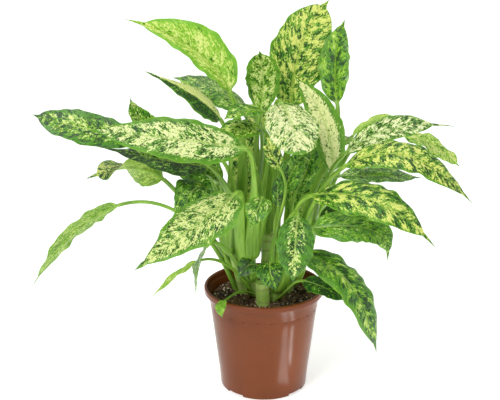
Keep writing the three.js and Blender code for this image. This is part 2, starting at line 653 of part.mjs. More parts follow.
function leafGeometry(leaf) {
  const curves = leafCurves(leaf);
  const samples = leafFrames(leaf, curves);
  const small = leaf.width < SMALL_LEAF;
  const upper = small ? [-1, 0, 1] : [-1, -0.5, 0, 0.5, 1];
  const count = upper.length;
  const places = [...upper.map((across) => [across, 1]), ...upper.toReversed().map((across) => [across, -1])];
  const round = places.map((place, index) => Math.PI - (Math.PI * (index + 0.5)) / count);
  const rings = [];
  for (let step = 0; step < STALK_STEPS; step += 1) {
    const at = step / STALK_STEPS;
    const { normal, side } = frameAt(samples, false, at);
    const radius = leaf.stalk * (STALK_NECK + (STALK_FLARE - STALK_NECK) * (1 - at) ** 2);
    const centre = curves.stalk.getPoint(at);
    rings.push(round.map((angle) => centre.clone()
      .addScaledVector(side, radius * Math.cos(angle))
      .addScaledVector(normal, radius * Math.sin(angle))));
  }
  const steps = small ? BLADE_STEPS.filter((at, index) => index % 2 === 0 || index === 1) : BLADE_STEPS;
  for (const at of steps) {
    const { normal, side } = frameAt(samples, true, at);
    const centre = curves.blade.getPoint(at);
    const radius = leaf.stalk * STALK_NECK;
    const blend = THREE.MathUtils.smoothstep(at, 0, BLADE_STEPS[1]);
    rings.push(places.map(([across, level], index) => {
      const circle = centre.clone()
        .addScaledVector(side, radius * Math.cos(round[index]))
        .addScaledVector(normal, radius * Math.sin(round[index]));
      const out = bladeNormal(leaf, curves, samples, at, across);
      const rib = across === 0 && level < 0 ? RIB_HEIGHT * (1 - at) : 0;
      const blade = bladePoint(leaf, curves, samples, at, across)
        .addScaledVector(out, level * (BLADE_THICKNESS / 2 + rib));
      return circle.lerp(blade, blend);
    }));
  }
  return skin(rings);
}

// Assembly

const plant = new THREE.Group();
plant.name = 'potted_dieffenbachia';

function place(name, geometry, { color, roughness }) {
  const material = new THREE.MeshStandardMaterial({ color, roughness, metalness: 0 });
  const mesh = new THREE.Mesh(geometry, material);
  mesh.name = name;
  plant.add(mesh);
}

place('pot', potGeometry(), COLOURS.pot);
place('soil', soilGeometry([...Object.values(CANES), STUB]), COLOURS.soil);
for (const [name, cane] of Object.entries(CANES)) {
  place(name, stemGeometry(cane, 0), COLOURS.cane);
}
place('cut_stub', stemGeometry(STUB, 0), COLOURS.cane);
for (const [name, leaf] of Object.entries(LEAVES)) {
  place(name, leafGeometry(leaf), COLOURS.leaf);
}

export default plant;
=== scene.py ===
"""Potted dieffenbachia: the surface of its leaves, canes, soil and pot.

Lengths in the tables are millimetres, as on the real plant, and become metres where a mesh is made.
+Z is up, the origin is the middle of the pot's foot, and -Y is the front of the plant.
"""

import logging
import math
from dataclasses import dataclass, replace
from enum import Enum
from statistics import NormalDist

import bpy
import numpy as np
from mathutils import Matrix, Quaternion, Vector


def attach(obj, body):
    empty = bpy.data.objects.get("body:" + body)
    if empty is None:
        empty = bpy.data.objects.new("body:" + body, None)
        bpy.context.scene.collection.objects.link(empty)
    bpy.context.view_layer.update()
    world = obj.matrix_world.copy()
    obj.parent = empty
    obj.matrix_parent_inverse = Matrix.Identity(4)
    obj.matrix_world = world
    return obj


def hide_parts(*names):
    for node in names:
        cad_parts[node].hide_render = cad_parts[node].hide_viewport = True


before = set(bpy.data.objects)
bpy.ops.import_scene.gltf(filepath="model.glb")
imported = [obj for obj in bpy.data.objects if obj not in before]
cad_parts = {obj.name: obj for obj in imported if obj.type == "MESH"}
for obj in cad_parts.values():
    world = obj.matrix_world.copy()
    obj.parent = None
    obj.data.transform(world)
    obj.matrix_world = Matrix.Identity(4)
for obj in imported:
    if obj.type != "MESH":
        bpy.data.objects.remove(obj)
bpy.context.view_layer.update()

MM = 0.001
BODY = "root"
ROOT_SEED = 2607
SOIL_EDGE_HEIGHT = 93.5

Pair = tuple[float, float]
Point = tuple[float, float, float]
Faces = list[tuple[int, ...]]
Piece = bpy.types.Object
Material = bpy.types.Material
Socket = bpy.types.NodeSocket
log = logging.getLogger("dieffenbachia")


# Numbers and directions


def linear(screen: str) -> tuple[float, float, float, float]:
    """Turn a screen colour into the linear one that a shader takes.

    Args:
        screen: Six hexadecimal digits, such as "7fb13a".

    Returns:
        Red, green, blue and alpha.
    """
    parts = [int(screen[place:place + 2], 16) / 255 for place in (0, 2, 4)]
    low = 0.04045
    light = [part / 12.92 if part <= low else ((part + 0.055) / 1.055) ** 2.4 for part in parts]
    return (*light, 1.0)


def unit(vectors: np.ndarray) -> np.ndarray:
    """Scale vectors, held in the last axis, to length one."""
    return vectors / np.maximum(np.linalg.norm(vectors, axis=-1, keepdims=True), 1e-12)


def smooth(value: np.ndarray | float, low: float, high: float) -> np.ndarray:
    """Rise smoothly from 0 at low to 1 at high."""
    share = np.clip((np.asarray(value, float) - low) / (high - low), 0.0, 1.0)
    return share * share * (3.0 - 2.0 * share)


def bump(value: np.ndarray, centre: float, width: float) -> np.ndarray:
    """Make a rounded ridge of height one at centre."""
    return np.exp(-(((value - centre) / width) ** 2))


def bezier(points: np.ndarray, at: np.ndarray) -> np.ndarray:
    """Find points of a Bezier curve.

    Args:
        points: Control points, one a row.
        at: Places on the curve, from 0 to 1.

    Returns:
        One point a row.
    """
    order = len(points) - 1
    weights = [math.comb(order, k) * (1 - at) ** (order - k) * at**k for k in range(order + 1)]
    return np.stack(weights, axis=1) @ points


def bezier_direction(points: np.ndarray, at: np.ndarray) -> np.ndarray:
    """Find the directions of a Bezier curve at places from 0 to 1."""
    return unit(bezier(np.diff(points, axis=0), at))


def bezier_length(points: np.ndarray) -> float:
    """Find the length of a Bezier curve."""
    places = bezier(points, np.linspace(0, 1, 65))
    return float(np.sum(np.linalg.norm(np.diff(places, axis=0), axis=1)))


def bearings(sides: int) -> np.ndarray:
    """Space angles evenly around a circle, in radians."""
    return np.arange(sides) / sides * 2 * math.pi


def circle(sides: int) -> np.ndarray:
    """Space points evenly around a circle of radius one."""
    bearing = bearings(sides)
    return np.stack([np.cos(bearing), np.sin(bearing)], axis=1)


def square_to(vectors: np.ndarray, axis: np.ndarray) -> np.ndarray:
    """Take away what of the vectors lies along the axis, and scale the rest to length one."""
    return unit(vectors - np.sum(vectors * axis, axis=-1, keepdims=True) * axis)


def value_noise(x: np.ndarray, y: np.ndarray, cell: float, seed: int) -> np.ndarray:
    """Make smooth noise between -1 and 1 over a plane.

    Args:
        x: First coordinates.
        y: Second coordinates, of the same shape.
        cell: Distance between the noise's lattice points.
        seed: Seed of the lattice.

    Returns:
        Noise of the same shape as x.
    """
    size = 64
    lattice = np.random.default_rng(seed).uniform(-1.0, 1.0, (size, size))
    u, v = np.asarray(x, float) / cell, np.asarray(y, float) / cell
    column, row = np.floor(u).astype(int), np.floor(v).astype(int)
    across, up = smooth(u - column, 0, 1), smooth(v - row, 0, 1)

    def corner(right: int, above: int) -> np.ndarray:
        """Read the lattice at one corner of each point's cell."""
        return lattice[(column + right) % size, (row + above) % size]

    low = corner(0, 0) * (1 - across) + corner(1, 0) * across
    high = corner(0, 1) * (1 - across) + corner(1, 1) * across
    return low * (1 - up) + high * up


# Meshes


def ring_faces(rings: int, around: int) -> Faces:
    """List the quads of a tube of rings, each with its points in the same order."""
    faces = []
    for ring in range(rings - 1):
        for side in range(around):
            a = ring * around + side
            b = ring * around + (side + 1) % around
            faces.append((a, b, b + around, a + around))
    return faces


def capped_faces(rings: int, around: int, start: int = 0) -> Faces:
    """List the faces of a tube of rings with one face over each end. start is its first point's number."""
    last = (rings - 1) * around
    ends = [tuple(range(around - 1, -1, -1)), tuple(range(last, last + around))]
    return [tuple(start + corner for corner in face) for face in ring_faces(rings, around) + ends]


def end_faces(start: int, around: int, at_end: bool) -> Faces:
    """List the strips that close one end of a tube between its upper and its lower points."""
    faces = []
    for upper in range(around // 2 - 1):
        lower = around - 1 - upper
        corners = (upper, lower, lower - 1, upper + 1)
        faces.append(tuple(start + corner for corner in (reversed(corners) if at_end else corners)))
    return faces


def make_mesh(name: str, points: np.ndarray, faces: Faces) -> bpy.types.Mesh:
    """Make a mesh from points in millimetres."""
    mesh = bpy.data.meshes.new(name)
    mesh.from_pydata((np.asarray(points) * MM).tolist(), [], faces)
    return mesh


def add_object(name: str, data: bpy.types.ID) -> Piece:
    """Add an object with this mesh, light or camera to the scene."""
    added = bpy.data.objects.new(name, data)
    bpy.context.scene.collection.objects.link(added)
    return added


def make_piece(name: str, points: np.ndarray, faces: Faces, material: Material, nodes: tuple[str, ...],
               sharp: float = 60.0) -> Piece:
    """Make one piece of the plant from points in millimetres and put it on the model.

    Args:
        name: Name of the piece.
        points: One point a row, in millimetres.
        faces: Point numbers of each face.
        material: Finish of the piece.
        nodes: Solids of the model that the piece replaces.
        sharp: Angle between faces, in degrees, above which their edge stays sharp.

    Returns:
        The object.
    """
    mesh = make_mesh(name, points, faces)
    mesh.update()
    mesh.shade_smooth()
    mesh.set_sharp_from_angle(angle=math.radians(sharp))
    mesh.materials.append(material)
    piece = add_object(name, mesh)
    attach(piece, BODY)
    if nodes:
        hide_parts(*nodes)
    return piece


def store(piece: Piece, name: str, kind: str, values: np.ndarray) -> None:
    """Store one value or vector at each point of a piece, for its material to read."""
    attribute = piece.data.attributes.new(name, kind, "POINT")
    key = "vector" if kind == "FLOAT_VECTOR" else "value"
    attribute.data.foreach_set(key, np.ascontiguousarray(values, np.float32).ravel())


def turned(profile: list[Pair], sides: int) -> tuple[np.ndarray, Faces]:
    """Turn a profile about +Z into a closed surface.

    Args:
        profile: Radius and height of each point. The first and the last lie on the axis.
        sides: Number of sides.

    Returns:
        Points and faces.
    """
    turn = circle(sides)
    rings = [np.column_stack([turn * radius, np.full(sides, height)]) for radius, height in profile[1:-1]]
    points = np.vstack([*rings, [[0, 0, profile[0][1]], [0, 0, profile[-1][1]]]])
    faces = ring_faces(len(rings), sides)
    last = (len(rings) - 1) * sides
    for side in range(sides):
        after = (side + 1) % sides
        faces.append((len(points) - 2, after, side))
        faces.append((len(points) - 1, last + side, last + after))
    return points, faces


def arc(centre: Pair, radius: float, start: float, end: float, steps: int) -> list[Pair]:
    """List the points of a round stretch of a profile, from one angle in degrees to another."""
    angles = np.radians(np.linspace(start, end, steps))
    return [(centre[0] + radius * math.cos(a), centre[1] + radius * math.sin(a)) for a in angles]


def cut_away(piece: Piece, tools: list[Piece]) -> None:
    """Cut the tools' shapes out of a piece, and delete the tools."""
    for tool in tools:
        cut = piece.modifiers.new("cut", "BOOLEAN")
        cut.operation = "DIFFERENCE"
        cut.solver = "EXACT"
        cut.object = tool
    solid = bpy.data.meshes.new_from_object(piece.evaluated_get(bpy.context.evaluated_depsgraph_get()))
    piece.modifiers.clear()
    name = piece.data.name
    piece.data.name = name + "_uncut"
    piece.data = solid
    solid.name = name
    for tool in tools:
        bpy.data.objects.remove(tool)


# Shader nodes


class Graph:
    """Adds nodes to one node tree and links them."""

    def __init__(self, tree: bpy.types.NodeTree) -> None:
        """Keep the tree that the nodes go into."""
        self.tree = tree

    def node(self, kind: str, inputs: dict | None = None, **settings: object) -> bpy.types.Node:
        """Add a node.

        Args:
            kind: Blender's name of the node type.
            inputs: Value or linked socket of each input, by name or number.
            settings: Properties of the node.

        Returns:
            The node.
        """
        node = self.tree.nodes.new(kind)
        for name, value in settings.items():
            setattr(node, name, value)
        for name, value in (inputs or {}).items():
            self.feed(node.inputs[name], value)
        return node

    def feed(self, socket: Socket, value: object) -> None:
        """Link a socket to another one, or set its value."""
        if isinstance(value, bpy.types.NodeSocket):
            self.tree.links.new(value, socket)
        else:
            socket.default_value = value

    def math(self, operation: str, a: object, b: object = 0.0) -> Socket:
        """Work out one sum of two numbers."""
        return self.node("ShaderNodeMath", {0: a, 1: b}, operation=operation).outputs[0]

    def times(self, a: object, b: object) -> Socket:
        """Multiply two numbers."""
        return self.math("MULTIPLY", a, b)

    def plus(self, a: object, b: object) -> Socket:
        """Add two numbers."""
        return self.math("ADD", a, b)

    def minus(self, a: object, b: object) -> Socket:
        """Take the second number from the first."""
        return self.math("SUBTRACT", a, b)

    def over(self, a: object, b: object) -> Socket:
        """Divide the first number by the second."""
        return self.math("DIVIDE", a, b)

    def vector(self, operation: str, inputs: dict) -> bpy.types.Node:
        """Work out one sum of vectors."""
        return self.node("ShaderNodeVectorMath", inputs, operation=operation)

    def total(self, *parts: tuple[float, object]) -> Socket:
        """Add sockets up, each times its weight."""
        result: object = 0.0
        for weight, part in parts:
            node = self.node("ShaderNodeMath", {0: part, 1: weight, 2: result}, operation="MULTIPLY_ADD")
            result = node.outputs[0]
        return result

    def step(self, value: object, low: object, high: object) -> Socket:
        """Rise smoothly from 0 at low to 1 at high, or fall where low is the greater."""
        inputs = {"Value": value, "From Min": low, "From Max": high}
        return self.node("ShaderNodeMapRange", inputs, interpolation_type="SMOOTHSTEP").outputs["Result"]

    def mix(self, factor: object, a: object, b: object) -> Socket:
        """Mix two colours."""
        return self.node("ShaderNodeMix", {0: factor, 6: a, 7: b}, data_type="RGBA").outputs[2]

    def blend(self, factor: object, a: object, b: object) -> Socket:
        """Mix two numbers."""
        return self.node("ShaderNodeMix", {0: factor, 2: a, 3: b}, data_type="FLOAT").outputs[0]

    def split(self, vector: Socket) -> tuple[Socket, Socket, Socket]:
        """Take a vector apart."""
        node = self.node("ShaderNodeSeparateXYZ", {0: vector})
        return node.outputs[0], node.outputs[1], node.outputs[2]

    def join(self, x: object, y: object, z: object) -> Socket:
        """Put a vector together."""
        return self.node("ShaderNodeCombineXYZ", {0: x, 1: y, 2: z}).outputs[0]

    def noise(self, place: object, scale: object, detail: float = 2.0, roughness: float = 0.5,
              distortion: float = 0.0) -> Socket:
        """Add a noise texture and take its value."""
        inputs = {"Vector": place, "Scale": scale, "Detail": detail, "Roughness": roughness,
                  "Distortion": distortion}
        return self.node("ShaderNodeTexNoise", inputs).outputs[0]

    def bump(self, height: Socket, depth: float) -> Socket:
        """Turn a height into a normal. depth is in millimetres for a height of one."""
        inputs = {"Height": height, "Distance": depth * MM, "Strength": 1.0}
        return self.node("ShaderNodeBump", inputs).outputs["Normal"]

    def attribute(self, name: str, output: str = "Vector") -> Socket:
        """Read what is stored at the mesh's points."""
        return self.node("ShaderNodeAttribute", attribute_name=name).outputs[output]

    def place(self) -> Socket:
        """Read the place on the object, in metres."""
        return self.node("ShaderNodeTexCoord").outputs["Object"]


class Effect:
    """A shader node group with named inputs and outputs, built once and placed in many materials."""

    NUMBER = "NodeSocketFloat"
    VECTOR = "NodeSocketVector"
    COLOUR = "NodeSocketColor"

    def __init__(self, name: str, inputs: dict[str, str], outputs: dict[str, str]) -> None:
        """Open a group with its sockets.

        Args:
            name: Name of the group.
            inputs: Kind of each input.
            outputs: Kind of each output.
        """
        self.tree = bpy.data.node_groups.new(name, "ShaderNodeTree")
        for title, kind in inputs.items():
            self.tree.interface.new_socket(title, in_out="INPUT", socket_type=kind)
        for title, kind in outputs.items():
            self.tree.interface.new_socket(title, in_out="OUTPUT", socket_type=kind)
        self.graph = Graph(self.tree)
        self.given = self.graph.node("NodeGroupInput").outputs
        self._result = self.graph.node("NodeGroupOutput").inputs

    def put(self, name: str, value: object) -> None:
        """Send a value to one of the group's outputs."""
        self.graph.feed(self._result[name], value)

    def use(self, graph: Graph, inputs: dict[str, object]) -> bpy.types.bpy_prop_collection:
        """Place the group in a material with values of its own, and take its outputs."""
        return graph.node("ShaderNodeGroup", inputs, node_tree=self.tree).outputs


# Effects that the finishes share


def mottle_effect() -> Effect:
    """Build the uneven tone of grown or handled surfaces: broad cloud, fine grain and small specks."""
    effect = Effect(
        "uneven_tone",
        {"Place": Effect.VECTOR, "Cloud Scale": Effect.NUMBER, "Grain Scale": Effect.NUMBER},
        dict.fromkeys(("Cloud", "Grain", "Specks"), Effect.NUMBER),
    )
    graph, given = effect.graph, effect.given
    cloud = graph.noise(given["Place"], given["Cloud Scale"], 3.0, 0.55)
    grain = graph.noise(given["Place"], given["Grain Scale"], 4.0, 0.6)
    effect.put("Cloud", graph.step(cloud, 0.3, 0.7))
    effect.put("Grain", grain)
    effect.put("Specks", graph.step(grain, 0.62, 0.7))
    return effect


def vein_effect() -> Effect:
    """Build the veins of a blade: the midrib, the side veins and the fine net between them."""
    effect = Effect(
        "leaf_veins",
        {"Place": Effect.VECTOR, "Zone": Effect.VECTOR, "Spacing": Effect.NUMBER, "Rib Width": Effect.NUMBER},
        dict.fromkeys(("Vein", "Rib", "Height"), Effect.NUMBER),
    )
    graph, given = effect.graph, effect.given
    _, across, vein = graph.split(given["Place"])
    reach, span, stalk = graph.split(given["Zone"])
    beat = graph.math("FRACT", graph.plus(graph.over(vein, given["Spacing"]), 0.5))
    away = graph.math("ABSOLUTE", graph.minus(beat, 0.5))
    line = graph.times(graph.step(away, 0.1, 0.02), graph.step(reach, 0.98, 0.6))
    width = graph.times(given["Rib Width"], graph.total((-0.8, span), (1.0, 1.0)))
    rib = graph.step(graph.over(graph.math("ABSOLUTE", across), width), 1.0, 0.45)
    net = graph.noise(graph.join(graph.times(vein, 1.4), graph.times(across, 0.45), span), 1.0)
    relief = graph.total((-0.5, line), (0.35, net), (-0.4, rib))
    effect.put("Vein", line)
    effect.put("Rib", rib)
    effect.put("Height", graph.times(relief, graph.minus(1.0, stalk)))
    return effect


def variegation_effect() -> Effect:
    """Build the ragged blotches of a blade. Cream always lies within lime, and dark green away from both."""
    numbers = ("Seed", "Cream At", "Lime At", "Dark At", "Spread", "Margin", "Size", "Cluster", "Half", "Tip")
    effect = Effect(
        "leaf_variegation",
        {"Place": Effect.VECTOR, "Zone": Effect.VECTOR, **dict.fromkeys(numbers, Effect.NUMBER)},
        dict.fromkeys(("Cream", "Lime", "Dark", "Bare", "Grain"), Effect.NUMBER),
    )
    graph, given = effect.graph, effect.given
    _, across, vein = graph.split(given["Place"])
    reach, span, _ = graph.split(given["Zone"])
    flow = graph.join(vein, graph.times(across, 1.05), graph.times(given["Seed"], 37.0))
    place = graph.vector("SCALE", {0: flow, "Scale": graph.over(1.0, given["Size"])}).outputs[0]
    flecks = graph.noise(place, 1.0, 3.0, 0.68, 0.5)
    blotch = graph.noise(place, 0.3, 1.0, 0.5, 0.3)
    fine = graph.noise(place, 2.7, 2.0, 0.6, 0.4)
    spots = graph.total((0.62, flecks), (0.16, blotch), (0.22, fine))
    clusters = graph.total((0.3, flecks), (0.44, blotch), (0.26, fine))
    edge = graph.plus(reach, graph.total((0.34, blotch), (-0.17, 1.0)))
    outer = graph.step(edge, graph.minus(given["Spread"], 0.22), graph.plus(given["Spread"], 0.1))
    ends = graph.times(graph.step(span, -0.02, 0.1), graph.step(span, 1.0, 0.9))
    bare = graph.minus(1.0, graph.times(graph.minus(1.0, outer), ends))
    half = graph.times(graph.total((2.0, graph.step(across, -1.5, 1.5)), (-1.0, 1.0)), given["Half"])
    lean = graph.plus(half, graph.times(graph.minus(span, 0.5), given["Tip"]))
    leaning = graph.total((1.0, graph.blend(given["Cluster"], spots, clusters)), (0.1, lean))
    level = graph.minus(leaning, graph.times(bare, given["Margin"]))
    for mask, above, below in (("Cream", 0.001, 0.002), ("Lime", 0.003, 0.002)):
        at = given[mask + " At"]
        effect.put(mask, graph.step(level, graph.minus(at, above), graph.plus(at, below)))
    depth = graph.total((0.6, leaning), (0.4, graph.noise(place, 0.5, 2.0, 0.6, 0.5)))
    at = given["Dark At"]
    effect.put("Dark", graph.step(depth, graph.plus(at, 0.004), graph.minus(at, 0.003)))
    effect.put("Bare", bare)
    effect.put("Grain", fine)
    return effect


def paint_effect() -> Effect:
    """Build the colour of a leaf from its masks, on the blade's two faces and on the stalk."""
    colours = ("Green", "Deep", "Lime Colour", "Cream Colour", "Under Colour", "Stalk Colour")
    masks = ("Cream", "Lime", "Dark", "Bare", "Vein", "Rib", "Grain", "Side", "Shade", "Edge")
    effect = Effect(
        "leaf_paint",
        {"Zone": Effect.VECTOR, "Place": Effect.VECTOR, **dict.fromkeys(masks, Effect.NUMBER),
         **dict.fromkeys(colours, Effect.COLOUR)},
        {"Colour": Effect.COLOUR, "Roughness": Effect.NUMBER},
    )
    graph, given = effect.graph, effect.given
    lime, creamy, stalky = given["Lime Colour"], given["Cream Colour"], given["Stalk Colour"]
    reach, span, stalk = graph.split(given["Zone"])

    def lay(base: Socket, mask: object, share: float, paint: Socket) -> Socket:
        """Lay a share of a colour over another one where a mask is set."""
        return graph.mix(graph.times(mask, share), base, paint)

    plain = graph.mix(given["Edge"], given["Green"], lime)
    upper = graph.mix(given["Dark"], given["Green"], given["Deep"])
    upper = graph.mix(graph.times(given["Bare"], graph.step(given["Edge"], 0.0, 0.3)), upper, plain)
    upper = lay(upper, given["Vein"], 0.16, lime)
    upper = lay(upper, given["Lime"], 0.94, lime)
    upper = graph.mix(given["Cream"], upper, lay(creamy, graph.step(given["Grain"], 0.5, 0.62), 0.3, lime))
    rib = graph.times(given["Rib"], graph.step(span, 1.0, 0.5))
    rib_colour = graph.mix(0.4, lime, creamy)
    upper = lay(upper, rib, 0.55, rib_colour)
    upper = lay(upper, graph.step(reach, 0.955, 0.995), 0.4, lime)

    lower = lay(graph.mix(0.44, upper, given["Under Colour"]), rib, 0.6, stalky)
    under = graph.step(given["Side"], 0.1, -0.1)
    blade = graph.mix(under, upper, lower)

    along = graph.vector("MULTIPLY", {0: given["Place"], 1: (0.03, 0.5, 0.03)}).outputs[0]
    streak = graph.noise(along, 1.0)
    shaded = graph.mix(0.55, stalky, given["Deep"])
    stem = lay(stalky, given["Shade"], 0.5, shaded)
    stem = lay(stem, graph.step(streak, 0.5, 0.62), 0.3, rib_colour)
    stem = lay(stem, graph.step(streak, 0.5, 0.4), 0.6, shaded)
    specks = graph.total((0.35, graph.step(streak, 0.5, 0.6)), (0.1, 1.0))
    stem = graph.mix(graph.times(given["Cream"], specks), stem, rib_colour)
    stem = lay(stem, graph.step(reach, 0.4, 0.85), 0.5, rib_colour)

    effect.put("Colour", graph.mix(stalk, blade, stem))
    rough = [(0.3, given["Grain"]), (0.2, under), (0.12, stalk), (0.1, 1.0), (0.06, given["Cream"])]
    effect.put("Roughness", graph.total(*rough))
    return effect


class Effects:
    """The node groups, each built once."""

    def __init__(self) -> None:
        """Build every group."""
        self.mottle = mottle_effect()
        self.veins = vein_effect()
        self.variegation = variegation_effect()
        self.paint = paint_effect()


# Finishes


class Slot(Enum):
    """The finishes named in the model's record."""

    POT = "pot"
    SOIL = "soil"
    STEM = "stem"
    LEAF = "leaf"


class Surface:
    """A material in the making: its graph and its surface shader."""

    def __init__(self, name: str) -> None:
        """Open the material."""
        self.material = bpy.data.materials.new(name)
        self.material.use_nodes = True
        self.graph = Graph(self.material.node_tree)
        self._shader = self.material.node_tree.nodes["Principled BSDF"]

    def finish(self, inputs: dict[str, object]) -> Material:
        """Feed the shader's inputs, by name, and hand the material over."""
        for name, value in inputs.items():
            self.graph.feed(self._shader.inputs[name], value)
        return self.material


@dataclass(frozen=True)
class LeafFinish:
    """The look of one leaf.

    cream and lime are the shares of the blade that are cream, and lime or cream, and dark the share that is
    the deeper green. Blotches keep within spread, a share of the way to the margin, the more strictly the
    greater margin is. size is a fleck's length in millimetres, cluster how much the flecks gather in patches,
    half how far they keep to one half of the blade, tip how far to its tip, gloss how much the surface
    mirrors, edge how light the plain margin is, and relief the depth of the veins in millimetres.
    """

    cream: float
    lime: float
    dark: float
    spread: float = 0.95
    margin: float = 0.08
    size: float = 2.2
    cluster: float = 0.35
    half: float = 0.0
    tip: float = 0.0
    gloss: float = 0.36
    edge: float = 0.25
    green: str = "4d8920"
    deep: str = "214818"
    lime_colour: str = "94c730"
    cream_colour: str = "e8efa0"
    under_colour: str = "94c444"
    stalk_colour: str = "92c440"
    relief: float = 0.5

    MEAN = 0.5
    SCATTER = 0.05
    DEPTH_SCATTER = 0.048
    LEAST_SHARE = 0.001
    SHADE_STEP = 0.618
    GRAIN_HEIGHT = 0.6
    UNDER_SKIN = {
        "Subsurface Weight": 0.12, "Subsurface Radius": (0.6, 1.0, 0.2), "Subsurface Scale": 2 * MM,
    }

    def level_at(self, share: float, scatter: float = SCATTER) -> float:
        """Find the level of the blotches' noise that this share of the blade lies above."""
        share = min(max(share, self.LEAST_SHARE), 1 - self.LEAST_SHARE)
        return self.MEAN - scatter * NormalDist().inv_cdf(share)

    def colours(self) -> dict[str, tuple]:
        """List the leaf's colours under the names that the paint takes them by."""
        names = {"Green": self.green, "Deep": self.deep, "Lime Colour": self.lime_colour,
                 "Cream Colour": self.cream_colour, "Under Colour": self.under_colour,
                 "Stalk Colour": self.stalk_colour}
        return {name: linear(colour) for name, colour in names.items()}

    def material(self, name: str, effects: Effects, seed: float, spacing: float, rib: float) -> Material:
        """Build the leaf's material.

        Args:
            name: Name of the leaf.
            effects: The shared node groups.
            seed: Number that sets this leaf's blotches apart from the others'.
            spacing: Distance between side veins, in millimetres.
            rib: Half width of the midrib at its base, in millimetres.

        Returns:
            The material.
        """
        surface = Surface(name + "_finish")
        graph = surface.graph
        where = {"Place": graph.attribute("leaf_place"), "Zone": graph.attribute("leaf_zone")}
        veins = effects.veins.use(graph, {**where, "Spacing": spacing, "Rib Width": rib})
        blotches = effects.variegation.use(graph, {
            **where, "Seed": seed, "Cream At": self.level_at(self.cream), "Lime At": self.level_at(self.lime),
            "Dark At": self.level_at(1 - self.dark, self.DEPTH_SCATTER), "Spread": self.spread,
            "Margin": self.margin, "Size": self.size, "Cluster": self.cluster, "Half": self.half,
            "Tip": self.tip,
        })
        paint = effects.paint.use(graph, {
            **where, "Side": graph.attribute("leaf_side", "Fac"), "Vein": veins["Vein"], "Rib": veins["Rib"],
            **{mask: blotches[mask] for mask in ("Cream", "Lime", "Dark", "Bare", "Grain")},
            **self.colours(), "Shade": (seed * self.SHADE_STEP) % 1, "Edge": self.edge,
        })
        height = graph.total((1.0, veins["Height"]), (self.GRAIN_HEIGHT, blotches["Grain"]))
        return surface.finish({
            "Base Color": paint["Colour"], "Roughness": paint["Roughness"],
            "Normal": graph.bump(height, self.relief), "Specular IOR Level": self.gloss, **self.UNDER_SKIN,
        })


class Tone(Enum):
    """The kinds of blade that the plant bears, from nearly all cream to nearly all dark green."""

    PALE = LeafFinish(cream=0.56, lime=0.7, dark=0.2, spread=1.1, cream_colour="f0f2b8")
    CREAM = LeafFinish(cream=0.46, lime=0.62, dark=0.22, spread=0.92, margin=0.1, cream_colour="ebf1ae")
    CREAM_SPECKLED = LeafFinish(cream=0.42, lime=0.56, dark=0.22, spread=0.95)
    SPECKLED = LeafFinish(cream=0.32, lime=0.48, dark=0.26, spread=1.0, cream_colour="e8ec80")
    LIGHT_CENTRE = LeafFinish(cream=0.22, lime=0.46, dark=0.2, spread=0.75, margin=0.1)
    LIME_BLOTCHED = LeafFinish(cream=0.08, lime=0.34, dark=0.25, spread=0.9, cream_colour="d6e87c")
    BRIGHT_LIME = LeafFinish(cream=0.38, lime=0.88, dark=0.05, spread=1.0, cream_colour="e4f08e")
    HALF_CREAM = LeafFinish(cream=0.3, lime=0.4, dark=0.35, half=0.9)
    GREEN = LeafFinish(cream=0.06, lime=0.22, dark=0.16, margin=0.05)
    DARK = LeafFinish(cream=0.02, lime=0.08, dark=0.6, edge=0.1)

    def look(self, **changes: object) -> LeafFinish:
        """Take this kind's finish, with some of its values changed."""
        return replace(self.value, **changes)


@dataclass(frozen=True)
class StemFinish:
    """Smooth green stem with paler streaks and brownish rings."""

    green: str = "aed862"
    pale: str = "d6ee90"
    ring: str = "99925c"
    cloud: float = 0.09
    grain: float = 0.7
    relief: float = 0.25

    def material(self, effects: Effects) -> Material:
        """Build the stems' material."""
        surface = Surface("stem_finish")
        graph = surface.graph
        place, ring = graph.attribute("stem_place"), graph.attribute("stem_ring", "Fac")
        scales = {"Cloud Scale": self.cloud, "Grain Scale": self.grain}
        tone = effects.mottle.use(graph, {"Place": place, **scales})
        pale = linear(self.pale)
        colour = graph.mix(tone["Cloud"], linear(self.green), pale)
        colour = graph.mix(graph.times(tone["Specks"], 0.5), colour, pale)
        colour = graph.mix(graph.times(ring, 0.6), colour, linear(self.ring))
        return surface.finish({
            "Base Color": colour,
            "Roughness": graph.total((0.25, tone["Grain"]), (0.3, 1.0), (0.2, ring)),
            "Normal": graph.bump(tone["Grain"], self.relief),
        })


@dataclass(frozen=True)
class PlasticFinish:
    """Thin glossy moulded plastic, with a few pale specks of dust."""

    brown: str = "7c3f1c"
    dark: str = "643014"
    dust: str = "a98468"
    roughness: float = 0.2
    gloss: float = 0.28
    cloud: float = 22.0
    grain: float = 900.0
    relief: float = 0.08

    def material(self, effects: Effects) -> Material:
        """Build the pot's material."""
        surface = Surface("pot_finish")
        graph = surface.graph
        scales = {"Cloud Scale": self.cloud, "Grain Scale": self.grain}
        tone = effects.mottle.use(graph, {"Place": graph.place(), **scales})
        colour = graph.mix(graph.times(tone["Cloud"], 0.35), linear(self.brown), linear(self.dark))
        colour = graph.mix(graph.times(tone["Specks"], 0.12), colour, linear(self.dust))
        rough = graph.total((0.1, tone["Grain"]), (0.07, tone["Cloud"]), (self.roughness - 0.08, 1.0))
        height = graph.total((0.7, tone["Cloud"]), (0.1, tone["Grain"]))
        return surface.finish({
            "Base Color": colour, "Roughness": rough, "Normal": graph.bump(height, self.relief),
            "Specular IOR Level": self.gloss,
        })


